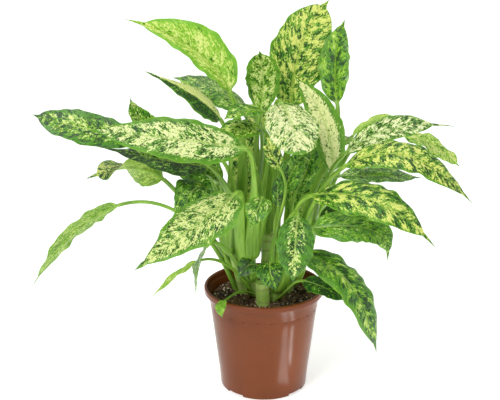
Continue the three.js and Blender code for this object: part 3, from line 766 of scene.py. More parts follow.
@dataclass(frozen=True)
class SoilFinish:
    """Loose potting soil: dark fibre and bark, or the pale grains in it."""

    name: str
    light: str
    dark: str
    cloud: float = 120.0
    grain: float = 1400.0
    relief: float = 0.5
    roughness: float = 0.9

    def material(self, effects: Effects) -> Material:
        """Build the material of this part of the soil."""
        surface = Surface(self.name)
        graph = surface.graph
        scales = {"Cloud Scale": self.cloud, "Grain Scale": self.grain}
        tone = effects.mottle.use(graph, {"Place": graph.place(), **scales})
        light = linear(self.light)
        colour = graph.mix(tone["Cloud"], linear(self.dark), light)
        colour = graph.mix(graph.times(tone["Specks"], 0.4), colour, light)
        return surface.finish({
            "Base Color": colour,
            "Roughness": graph.total((0.15, tone["Grain"]), (self.roughness - 0.08, 1.0)),
            "Normal": graph.bump(tone["Grain"], self.relief),
        })


# Canes


@dataclass(frozen=True)
class Cane:
    """One upright stem: its foot on the soil, its top, and its radius at both, in millimetres."""

    foot: Pair
    top: Point
    radii: Pair

    def centre(self, height: np.ndarray | float) -> np.ndarray:
        """Find the stem's middle at heights."""
        share = self.share(height)
        x, y = (foot + (top - foot) * share for foot, top in zip(self.foot, self.top))
        return np.stack([x, y, np.asarray(height, float)], axis=-1)

    def share(self, height: np.ndarray | float) -> np.ndarray:
        """Find how far up the stem heights are, from 0 at the soil to 1 at the top."""
        rise = np.asarray(height, float) - SOIL_EDGE_HEIGHT
        return np.clip(rise / (self.top[2] - SOIL_EDGE_HEIGHT), 0, 1)

    def radius(self, height: np.ndarray | float) -> np.ndarray:
        """Find the stem's radius at heights."""
        return self.radii[0] + (self.radii[1] - self.radii[0]) * self.share(height)


CANES = {
    "cane_left": Cane((-20, 2), (-34, 2, 152), (4.6, 4.2)),
    "cane_front_left": Cane((-8, -4), (-14, -16, 152), (4.4, 4.2)),
    "cane_left_back": Cane((-16, 22), (-24, 28, 152), (5, 4.4)),
    "cane_back": Cane((3, 26), (4, 30, 164), (6.5, 5.5)),
    "cane_right_back": Cane((20, 28), (30, 34, 154), (5, 4.4)),
    "cane_right": Cane((24, 8), (38, 8, 154), (5, 4.4)),
    "cane_front_right": Cane((9, -14), (20, -24, 152), (4.4, 4.2)),
}
STUB = Cane((-1, -24), (-2, -25, 119), (7, 6.6))


@dataclass
class Canes:
    """The upright stems with their leaf scars, and the cut stub at the front, in millimetres.

    A scar is a ridge with a groove above it, and brown between the two. streak is how much the finish is
    stretched along a stem and around it.
    """

    sides: int = 36
    step: float = 0.9
    depth: float = 25.0
    scar_gap: float = 10.5
    scar_height: float = 0.32
    scar_width: float = 0.7
    scar_shift: float = 2.2
    scar_tilt: float = 1.2
    groove_share: float = 0.6
    groove_above: float = 1.6
    groove_width: float = 0.9
    brown_above: float = 0.5
    brown_width: float = 0.8
    cut_brown: float = 0.25
    uneven_height: float = 0.18
    uneven_length: float = 6.0
    uneven_turn: float = 9.0
    streak: Pair = (0.4, 1.8)
    tip_length: float = 12.0
    tip_rings: int = 12
    cut_edge: float = 0.7
    cut_dish: float = 0.5

    def build(self, effects: Effects) -> list[Piece]:
        """Build every stem.

        Args:
            effects: The shared node groups.

        Returns:
            The pieces.
        """
        material = StemFinish().material(effects)
        stems = [*CANES.items(), ("cut_stub", STUB)]
        return [self.stem(name, cane, seed, material) for seed, (name, cane) in enumerate(stems)]

    def stem(self, name: str, cane: Cane, seed: int, material: Material) -> Piece:
        """Build one stem.

        Args:
            name: Name of the solid that the stem replaces.
            cane: Its sizes.
            seed: Seed of its scars.
            material: Its finish.

        Returns:
            The piece.
        """
        cut = cane is STUB
        bearing = bearings(self.sides)
        heights = np.arange(SOIL_EDGE_HEIGHT - self.depth, cane.top[2], self.step)
        relief, ring = self.scars(cane, heights[:, None], bearing, seed)
        side = self.rings(cane.centre(heights), cane.radius(heights)[:, None] + relief, bearing)
        tops, shares = np.array(self.cut_end(cane.top[2]) if cut else self.growing_point(cane.top[2])).T
        middles = cane.centre(np.minimum(tops, cane.top[2]))
        middles[:, 2] = tops
        end = self.rings(middles, (cane.radius(tops) * shares)[:, None], bearing)
        rings = np.concatenate([side, end])
        faces = capped_faces(len(rings), self.sides)
        piece = make_piece(name + "_stem", rings.reshape(-1, 3), faces, material, (name,))
        up, around = self.streak[0] * rings[:, :, 2], self.streak[1] * float(cane.radii[0]) * bearing
        place = np.stack(np.broadcast_arrays(up, around, np.float64(seed * 9.0)), axis=-1)
        ring = np.vstack([ring, np.full((len(end), self.sides), self.cut_brown if cut else 0.0)])
        store(piece, "stem_place", "FLOAT_VECTOR", place)
        store(piece, "stem_ring", "FLOAT", np.clip(ring, 0, 1))
        return piece

    def scars(self, cane: Cane, heights: np.ndarray, bearing: np.ndarray,
              seed: int) -> tuple[np.ndarray, np.ndarray]:
        """Make the unevenness of a stem's side with its leaf scars.

        Args:
            cane: The stem's sizes.
            heights: Heights of its rings, one a row.
            bearing: Directions of its sides.
            seed: Seed of the scars.

        Returns:
            The relief in millimetres and the share of brown, one value for each point of the side.
        """
        draw = np.random.default_rng(ROOT_SEED + seed)
        places = np.arange(SOIL_EDGE_HEIGHT - 4, cane.top[2] - 2, self.scar_gap)
        places = places + draw.uniform(-self.scar_shift, self.scar_shift, len(places))
        tilts = draw.uniform(-self.scar_tilt, self.scar_tilt, len(places))
        turns = draw.uniform(0, 2 * math.pi, len(places))
        relief = np.zeros((len(heights), self.sides))
        brown = np.zeros_like(relief)
        for place, tilt, turn in zip(places, tilts, turns):
            height = heights - tilt * np.cos(bearing - turn)
            groove = self.groove_share * bump(height, place + self.groove_above, self.groove_width)
            relief += self.scar_height * (bump(height, place, self.scar_width) - groove)
            brown += bump(height, place + self.brown_above, self.brown_width)
        noise = value_noise(bearing * self.uneven_turn, heights, self.uneven_length, ROOT_SEED + 40 + seed)
        return relief + self.uneven_height * noise, brown

    def rings(self, middles: np.ndarray, reach: np.ndarray, bearing: np.ndarray) -> np.ndarray:
        """Make level rings about middles, with a radius for each ring or each point."""
        x = middles[:, :1] + reach * np.cos(bearing)
        y = middles[:, 1:2] + reach * np.sin(bearing)
        return np.stack([x, y, np.broadcast_to(middles[:, 2:], x.shape)], axis=-1)

    def cut_end(self, top: float) -> list[Pair]:
        """List heights and radius shares of the cut: a rounded edge and a slightly sunken face."""
        rim = [(top - self.cut_edge * (1 - s), 1 - 0.08 * s * s) for s in (0.3, 0.7, 1.0)]
        face = [(top - self.cut_dish * (1 - s * s), s * 0.9) for s in (0.95, 0.8, 0.6, 0.35, 0.1)]
        return rim + face

    def growing_point(self, top: float) -> list[Pair]:
        """List heights and radius shares of a stem's pointed end."""
        shares = np.linspace(0, 1, self.tip_rings)
        return [(top + self.tip_length * s, math.sqrt(max(1 - s**1.6, 0.0004))) for s in shares]


# Leaves


@dataclass(frozen=True)
class Leaf:
    """One leaf with its stalk, in millimetres and degrees.

    finish is the blade's look. cane and height say where it grows, bearing on which side of the cane, and
    lean how far the stalk leans out as it rises. stalk is the stalk's radius. base, middle and tip are points
    of the midrib, width the greatest width, and face the way that the upper face looks at the middle. Each
    half rises by fold from the midrib and sinks by droop to its edge. bend is how far before the blade the
    stalk starts to turn along it, and twist turns the blade about its midrib. wave is the height and number
    of the edge's waves. shoulder, taper and body shape the outline.
    """

    finish: LeafFinish
    cane: str
    height: float
    bearing: float
    lean: float
    stalk: float
    base: Point
    middle: Point
    tip: Point
    width: float
    face: Point
    fold: float
    droop: float
    bend: float | None = None
    twist: float = 0.0
    wave: Pair = (1.2, 2.0)
    shoulder: float = 0.62
    taper: float = 0.75
    body: float = 0.94


class CentreLine:
    """The middle line of a leaf's stalk and blade, with the directions out of and across its upper face."""

    SAMPLES = 40
    RISE = 0.45
    BEND = 0.3
    CLEARANCE = 0.3
    FLARE = 1.4

    def __init__(self, leaf: Leaf) -> None:
        """Lay the line from the leaf's cane to its tip."""
        base, middle, tip = (np.array(point, float) for point in (leaf.base, leaf.middle, leaf.tip))
        control = 2 * middle - 0.5 * (base + tip)
        cane = CANES[leaf.cane]
        bearing = math.radians(leaf.bearing)
        self.outward = np.array([math.cos(bearing), math.sin(bearing), 0.0])
        gap = float(cane.radius(leaf.height)) + self.CLEARANCE + leaf.stalk * self.FLARE
        root = cane.centre(leaf.height) + self.outward * gap
        reach = float(np.linalg.norm(root - base))
        self.rise = unit(np.array([0, 0, 1.0]) + self.outward * leaf.lean)
        arrive = unit(control - base)
        bend = reach * self.BEND if leaf.bend is None else leaf.bend
        self.gap = gap
        self.stalk = np.stack([root, root + self.rise * reach * self.RISE, base - arrive * bend, base])
        self.blade = np.stack([base, control, tip])
        self._carry_normals(np.array(leaf.face, float))

    def _carry_normals(self, face: np.ndarray) -> None:
        """Carry the face's direction along the line without twisting it."""
        at = np.linspace(0, 1, self.SAMPLES + 1)
        along = np.vstack([bezier_direction(self.stalk, at), bezier_direction(self.blade, at[1:])])
        half = self.SAMPLES + self.SAMPLES // 2
        normals = np.zeros_like(along)
        normals[half] = square_to(face, along[half])
        for index in range(half + 1, len(along)):
            normals[index] = square_to(normals[index - 1], along[index])
        for index in range(half - 1, -1, -1):
            normals[index] = square_to(normals[index + 1], along[index])
        self._normals = normals

    def frame(self, points: np.ndarray, at: np.ndarray, on_blade: bool,
              twist: np.ndarray | float = 0.0) -> tuple:
        """Find places on the line with their directions.

        Args:
            points: The stalk's or the blade's control points.
            at: Places on it, from 0 to 1.
            on_blade: Whether they are the blade's.
            twist: Turn of the upper face about the line, in radians.

        Returns:
            Places, directions out of the upper face and directions across it.
        """
        sample = (at + on_blade) * self.SAMPLES
        numbers = np.arange(len(self._normals))
        normal = np.stack([np.interp(sample, numbers, self._normals[:, axis]) for axis in range(3)], axis=1)
        along = bezier_direction(points, at)
        normal = square_to(normal, along)
        turn = np.broadcast_to(twist, at.shape)[:, None]
        normal = normal * np.cos(turn) + np.cross(along, normal) * np.sin(turn)
        return bezier(points, at), normal, np.cross(along, normal)


class LeafSkin:
    """The closed surface of one leaf, with its ribs, veins and sheath.

    Lengths are millimetres. A pair holds the least and the greatest of a value, or where a part of the leaf
    starts and ends, as shares of its length or of its half width. GROOVE_WIDTH, KEEL_WIDTH and SHEATH_GROOVE
    instead hold a value and what is added to it where the part is strongest. RIPPLES' rows hold a height, the
    change of phase along and across in radians, the number of the phase, and the power by which the ripple
    grows from the midrib to the margin. WING holds the height of the sheath's two edges, as a share of the
    stalk's radius, and their bearing and width in radians.
    """

    STATION, STATIONS = 1.25, (26, 112)
    COLUMN, COLUMNS = 1.55, (5, 18)
    COLUMN_CROWDING = 1.25
    LAST_COLUMN = 0.982
    STALK_STATION, STALK_STATIONS = 2.2, (12, 60)
    VEINS, VEIN_GAPS = 17, (3.2, 7.0)
    THICKNESS = 0.5
    EDGE_THICKNESS = 0.28
    NECK = 0.85
    BLEND = 0.05
    DRIP = 0.1
    TIP_HALF = 0.6
    END_HALF = 0.22
    TIP_PART = (0.7, 1)
    NECK_PART = (0.0, 0.06)
    WAVE_SHIFT = 1.1
    VEIN_SLOPE = 0.62
    VEIN_CURVE = 0.012
    FULL_HALF = 16.0
    QUILT, QUILT_ROUND = 0.42, 2.2
    QUILTED = (0.12, 0.8)
    RIB_FADE = 0.6
    GROOVE, GROOVE_WIDTH = 0.75, (1.0, 0.5)
    KEEL, KEEL_WIDTH = 1.3, (1.1, 0.7)
    SIDE_KEEL, SIDE_KEEL_SHARP = 0.16, 2.4
    MOST_SWAY, SWAY_SHARE = 1.2, 1 / 40
    RIPPLES = ((0.7, 5.1, 1.7, 0, 1), (0.4, 9.3, -2.9, 1, 1), (0.8, 31, 2.2, 2, 4), (0.5, 47, -3.0, 3, 5))
    SHEATH_PART = (0.25, 0.85)
    SHEATH_WIDE = 1.0
    SHEATH_FLAT = 0.18
    SHEATH_GROOVE, SHEATH_GROOVE_WIDTH = (0.16, 0.3), 0.55
    WING = (0.2, 1.15, 0.3)
    RIDGE, RIDGES = 0.018, 9
    ROOT_LENGTH, ROOT_STEPS = 9.0, 6
    ROOT_INWARD, ROOT_CURVE = 0.7, 1.7
    ROOT_SHRINK, ROOT_SHRINK_CURVE = 0.6, 1.5

    def __init__(self, leaf: Leaf, seed: int) -> None:
        """Shape the skin of a leaf.

        Args:
            leaf: The leaf's sizes.
            seed: Seed of its small unevenness.
        """
        self.leaf = leaf
        self.line = CentreLine(leaf)
        draw = np.random.default_rng(ROOT_SEED * 3 + seed)
        self.phases = draw.uniform(0, 2 * math.pi, 6)
        self.length = bezier_length(self.line.blade)
        self.stalk_length = bezier_length(self.line.stalk)
        self.spacing = float(np.clip(self.length / self.VEINS, *self.VEIN_GAPS))
        self._lay_grid()

    def _lay_grid(self) -> None:
        """Choose the places along and across the leaf that get a point."""
        stations = int(np.clip(self.length / self.STATION, *self.STATIONS))
        self.at = np.linspace(0, 1, stations)
        steps = int(np.clip(self.leaf.width / self.COLUMN / 2, *self.COLUMNS))
        half = (np.arange(1, steps + 1) / steps) ** self.COLUMN_CROWDING
        half = np.sort(np.append(half, self.LAST_COLUMN))
        self.across = np.concatenate([-half[::-1], [0.0], half])
        steps = int(np.clip(self.stalk_length / self.STALK_STATION, *self.STALK_STATIONS))
        self.stalk_at = np.linspace(0, 1, steps)[:-1]
        count = len(self.across)
        upper = math.pi - math.pi * (np.arange(count) + 0.5) / count
        self.angles = np.concatenate([upper, -upper[::-1]])

    def outline(self, at: np.ndarray) -> np.ndarray:
        """Find the blade's half width, as a share of its widest, at shares of its length."""
        leaf = self.leaf
        along = np.minimum(at / leaf.body, 1)
        widest = leaf.shoulder / (leaf.shoulder + leaf.taper)
        most = widest**leaf.shoulder * (1 - widest) ** leaf.taper
        body = along**leaf.shoulder * (1 - along) ** leaf.taper / most
        if leaf.body < 1:
            body = np.maximum(body, self.DRIP * np.minimum((1 - at) / (1 - leaf.body), 1))
        return body

    def middle_surface(self) -> np.ndarray:
        """Find the blade's middle surface over the grid of stations and columns."""
        leaf, at, across = self.leaf, self.at, self.across[None, :]
        twist = math.radians(leaf.twist) * (at - 0.5)
        centre, normal, side = self.line.frame(self.line.blade, at, True, twist)
        shape = self.outline(at)[:, None]
        least = self.TIP_HALF + (self.END_HALF - self.TIP_HALF) * smooth(at, *self.TIP_PART)[:, None]
        half = np.maximum(0.5 * leaf.width * shape, least)
        reach = np.abs(across)
        angle = math.radians(leaf.fold) - 0.5 * math.radians(leaf.droop) * reach
        height, waves = leaf.wave
        phase = np.where(across > 0, self.WAVE_SHIFT, 0.0)
        wave = height * reach**2 * np.sin(2 * math.pi * waves * at[:, None] + phase)
        sway = self.sway(at[:, None], across)
        lift = half * reach * np.sin(angle) + (wave + sway) * shape
        self.half, self.reach = half, np.broadcast_to(reach, (len(at), reach.shape[1]))
        out = across * half * np.cos(angle) * (1 + self.nicks(at[:, None], across))
        return centre[:, None] + side[:, None] * out[..., None] + normal[:, None] * lift[..., None]

    def sway(self, at: np.ndarray, across: np.ndarray) -> np.ndarray:
        """Make the small uneven lift of the blade and the ripples of its margin, in millimetres."""
        lift = sum(height * np.sin(along * at + out * across + self.phases[phase]) * np.abs(across) ** power
                   for height, along, out, phase, power in self.RIPPLES)
        return min(self.leaf.width * self.SWAY_SHARE, self.MOST_SWAY) * lift

    def nicks(self, at: np.ndarray, across: np.ndarray) -> np.ndarray:
        """Make the small ins and outs of the margin, as a share of the blade's half width."""
        side = np.sign(across)
        uneven = 0.035 * np.sin(23 * at + 1.9 * side + self.phases[5])
        uneven += 0.03 * np.sin(52 * at - 2.3 * side + self.phases[0]) * np.sin(9 * at + self.phases[1])
        return uneven * across**4

    def vein_place(self, along: np.ndarray, out: np.ndarray) -> np.ndarray:
        """Find how far from the blade's base the side vein through a place leaves the midrib."""
        distance = np.abs(out)
        return along - self.VEIN_SLOPE * distance - self.VEIN_CURVE * distance**2

    def blade_rings(self) -> tuple[np.ndarray, dict[str, np.ndarray]]:
        """Shape the blade: its two faces over the middle surface, with quilting, midrib and keel."""
        surface = self.middle_surface()
        normal = unit(np.cross(np.gradient(surface, axis=1), np.gradient(surface, axis=0)))
        at = self.at[:, None]
        along = at * self.length
        out = self.across[None, :] * self.half
        vein = self.vein_place(along, out)
        beat = np.abs((vein / self.spacing + 0.5) % 1 - 0.5) * 2
        inside = smooth(self.reach, 0, self.QUILTED[0]) * (1 - smooth(self.reach, self.QUILTED[1], 1))
        size = np.clip(self.half / self.FULL_HALF, 0.25, 1.0)
        quilt = self.QUILT * size * inside * (1 - (1 - beat) ** self.QUILT_ROUND)
        fade = (1 - at) ** self.RIB_FADE
        groove = self.GROOVE * fade * size * bump(out, 0, self.GROOVE_WIDTH[0] + self.GROOVE_WIDTH[1] * fade)
        keel = self.KEEL * fade * size * bump(out, 0, self.KEEL_WIDTH[0] + self.KEEL_WIDTH[1] * fade)
        side_keel = self.SIDE_KEEL * size * inside * np.maximum(1 - beat * self.SIDE_KEEL_SHARP, 0)
        thick = self.EDGE_THICKNESS + (self.THICKNESS - self.EDGE_THICKNESS) * (1 - self.reach**3)
        upper = surface + normal * (thick / 2 + quilt - groove)[..., None]
        lower = surface - normal * (thick / 2 - quilt + keel + side_keel)[..., None]
        faces = np.concatenate([upper, lower[:, ::-1]], axis=1)
        centre, out_of, side = self.line.frame(self.line.blade, self.at, True)
        radius = self.leaf.stalk * self.NECK
        neck = self.circle(centre, out_of, side, np.full((len(self.at), len(self.angles)), radius))
        blend = smooth(self.at, 0, self.BLEND)[:, None, None]
        rings = neck * (1 - blend) + faces * blend

        def both(*values: np.ndarray) -> np.ndarray:
            """Stack values of the upper face as vectors and repeat them for the lower one."""
            upper_values = np.stack(np.broadcast_arrays(*values), axis=-1)
            return np.concatenate([upper_values, upper_values[:, ::-1]], axis=1)

        ones = np.ones_like(self.reach)
        stored = {
            "place": both(along, out, vein),
            "zone": both(self.reach, at, 1 - smooth(at, *self.NECK_PART)),
            "side": np.concatenate([ones, -ones], axis=1),
        }
        return rings, stored

    def circle(self, centre: np.ndarray, normal: np.ndarray, side: np.ndarray,
               radius: np.ndarray) -> np.ndarray:
        """Make rings about centres, with a radius for each point."""
        across = (radius * np.cos(self.angles))[..., None] * side[:, None]
        up = (radius * np.sin(self.angles))[..., None] * normal[:, None]
        return centre[:, None] + across + up

    def stalk_rings(self) -> tuple[np.ndarray, dict[str, np.ndarray]]:
        """Shape the stalk: a grooved sheath that clasps the cane below and is nearly round above."""
        leaf, at = self.leaf, self.stalk_at
        centre, normal, side = self.line.frame(self.line.stalk, at, False)
        flare = self.line.FLARE
        radius = leaf.stalk * (self.NECK + (flare - self.NECK) * (1 - at) ** 2)
        cane_side = -self.line.outward
        towards = math.atan2(float(cane_side @ normal[0]), float(cane_side @ side[0]))
        turn = (math.pi / 2 - towards + math.pi) % (2 * math.pi) - math.pi
        groove_at = towards + turn * smooth(at, 0.0, 0.9)
        off = (self.angles[None, :] - groove_at[:, None] + math.pi) % (2 * math.pi) - math.pi
        sheath = (1 - smooth(at, *self.SHEATH_PART))[:, None]
        wide, flat = 1 + self.SHEATH_WIDE * sheath, 1 - self.SHEATH_FLAT * sheath
        oval = wide * flat / np.hypot(wide * np.cos(off), flat * np.sin(off))
        shallow, deeper = self.SHEATH_GROOVE
        groove = (shallow + deeper * sheath) * bump(off, 0, self.SHEATH_GROOVE_WIDTH)
        height, bearing, width = self.WING
        wing = bump(off, bearing, width) + bump(off, -bearing, width)
        ridges = self.RIDGE * np.sin(self.RIDGES * off + self.phases[4])
        fade = smooth(1 - at, 0.0, 0.12)[:, None]
        reach = radius[:, None] * (oval + fade * (height * sheath * wing - groove + ridges))
        rings = self.circle(centre, normal, side, reach)
        rings, at_root = self.add_root(rings, centre, normal, side, reach[0])
        edge = np.concatenate([np.repeat(wing[:1], len(at_root), axis=0), wing * sheath])
        along = np.concatenate([at_root, at * self.stalk_length])[:, None] - self.stalk_length
        ones = np.ones(rings.shape[:2])
        around = ones * (self.angles * leaf.stalk)
        stored = {
            "place": np.stack([along * ones, around, along * ones], axis=-1),
            "zone": np.stack([0.9 * np.minimum(edge, 1), 0 * ones, ones], axis=-1),
            "side": 0.5 * ones,
        }
        return rings, stored

    def add_root(self, rings: np.ndarray, centre: np.ndarray, normal: np.ndarray, side: np.ndarray,
                 first: np.ndarray) -> tuple[np.ndarray, np.ndarray]:
        """Add the rings that run the sheath down into its cane.

        Args:
            rings: The stalk's rings.
            centre: Their middles.
            normal: Directions out of the upper face at them.
            side: Directions across it.
            first: Radius of each point of the first ring.

        Returns:
            All rings, and the place of each added one along the stalk, in millimetres.
        """
        share = np.linspace(1, 0, self.ROOT_STEPS + 1)[:-1]
        down = -self.line.rise * self.ROOT_LENGTH
        inward = -self.line.outward * self.line.gap * self.ROOT_INWARD
        middles = centre[0] + share[:, None] * down + (share**self.ROOT_CURVE)[:, None] * inward
        shrink = 1 - self.ROOT_SHRINK * share**self.ROOT_SHRINK_CURVE
        spread = np.repeat(normal[:1], len(share), axis=0), np.repeat(side[:1], len(share), axis=0)
        added = self.circle(middles, *spread, shrink[:, None] * first[None, :])
        return np.concatenate([added, rings]), -share * self.ROOT_LENGTH

    def build(self, name: str, material: Material) -> Piece:
        """Build the leaf and put it in its solid's place."""
        stalk, stalk_stored = self.stalk_rings()
        blade, blade_stored = self.blade_rings()
        rings = np.concatenate([stalk, blade])
        count, around = rings.shape[:2]
        faces = ring_faces(count, around)
        faces += end_faces(0, around, False) + end_faces((count - 1) * around, around, True)
        piece = make_piece(name + "_blade", rings.reshape(-1, 3), faces, material, (name,))
        for key, kind in (("place", "FLOAT_VECTOR"), ("zone", "FLOAT_VECTOR"), ("side", "FLOAT")):
            store(piece, "leaf_" + key, kind, np.concatenate([stalk_stored[key], blade_stored[key]]))
        return piece


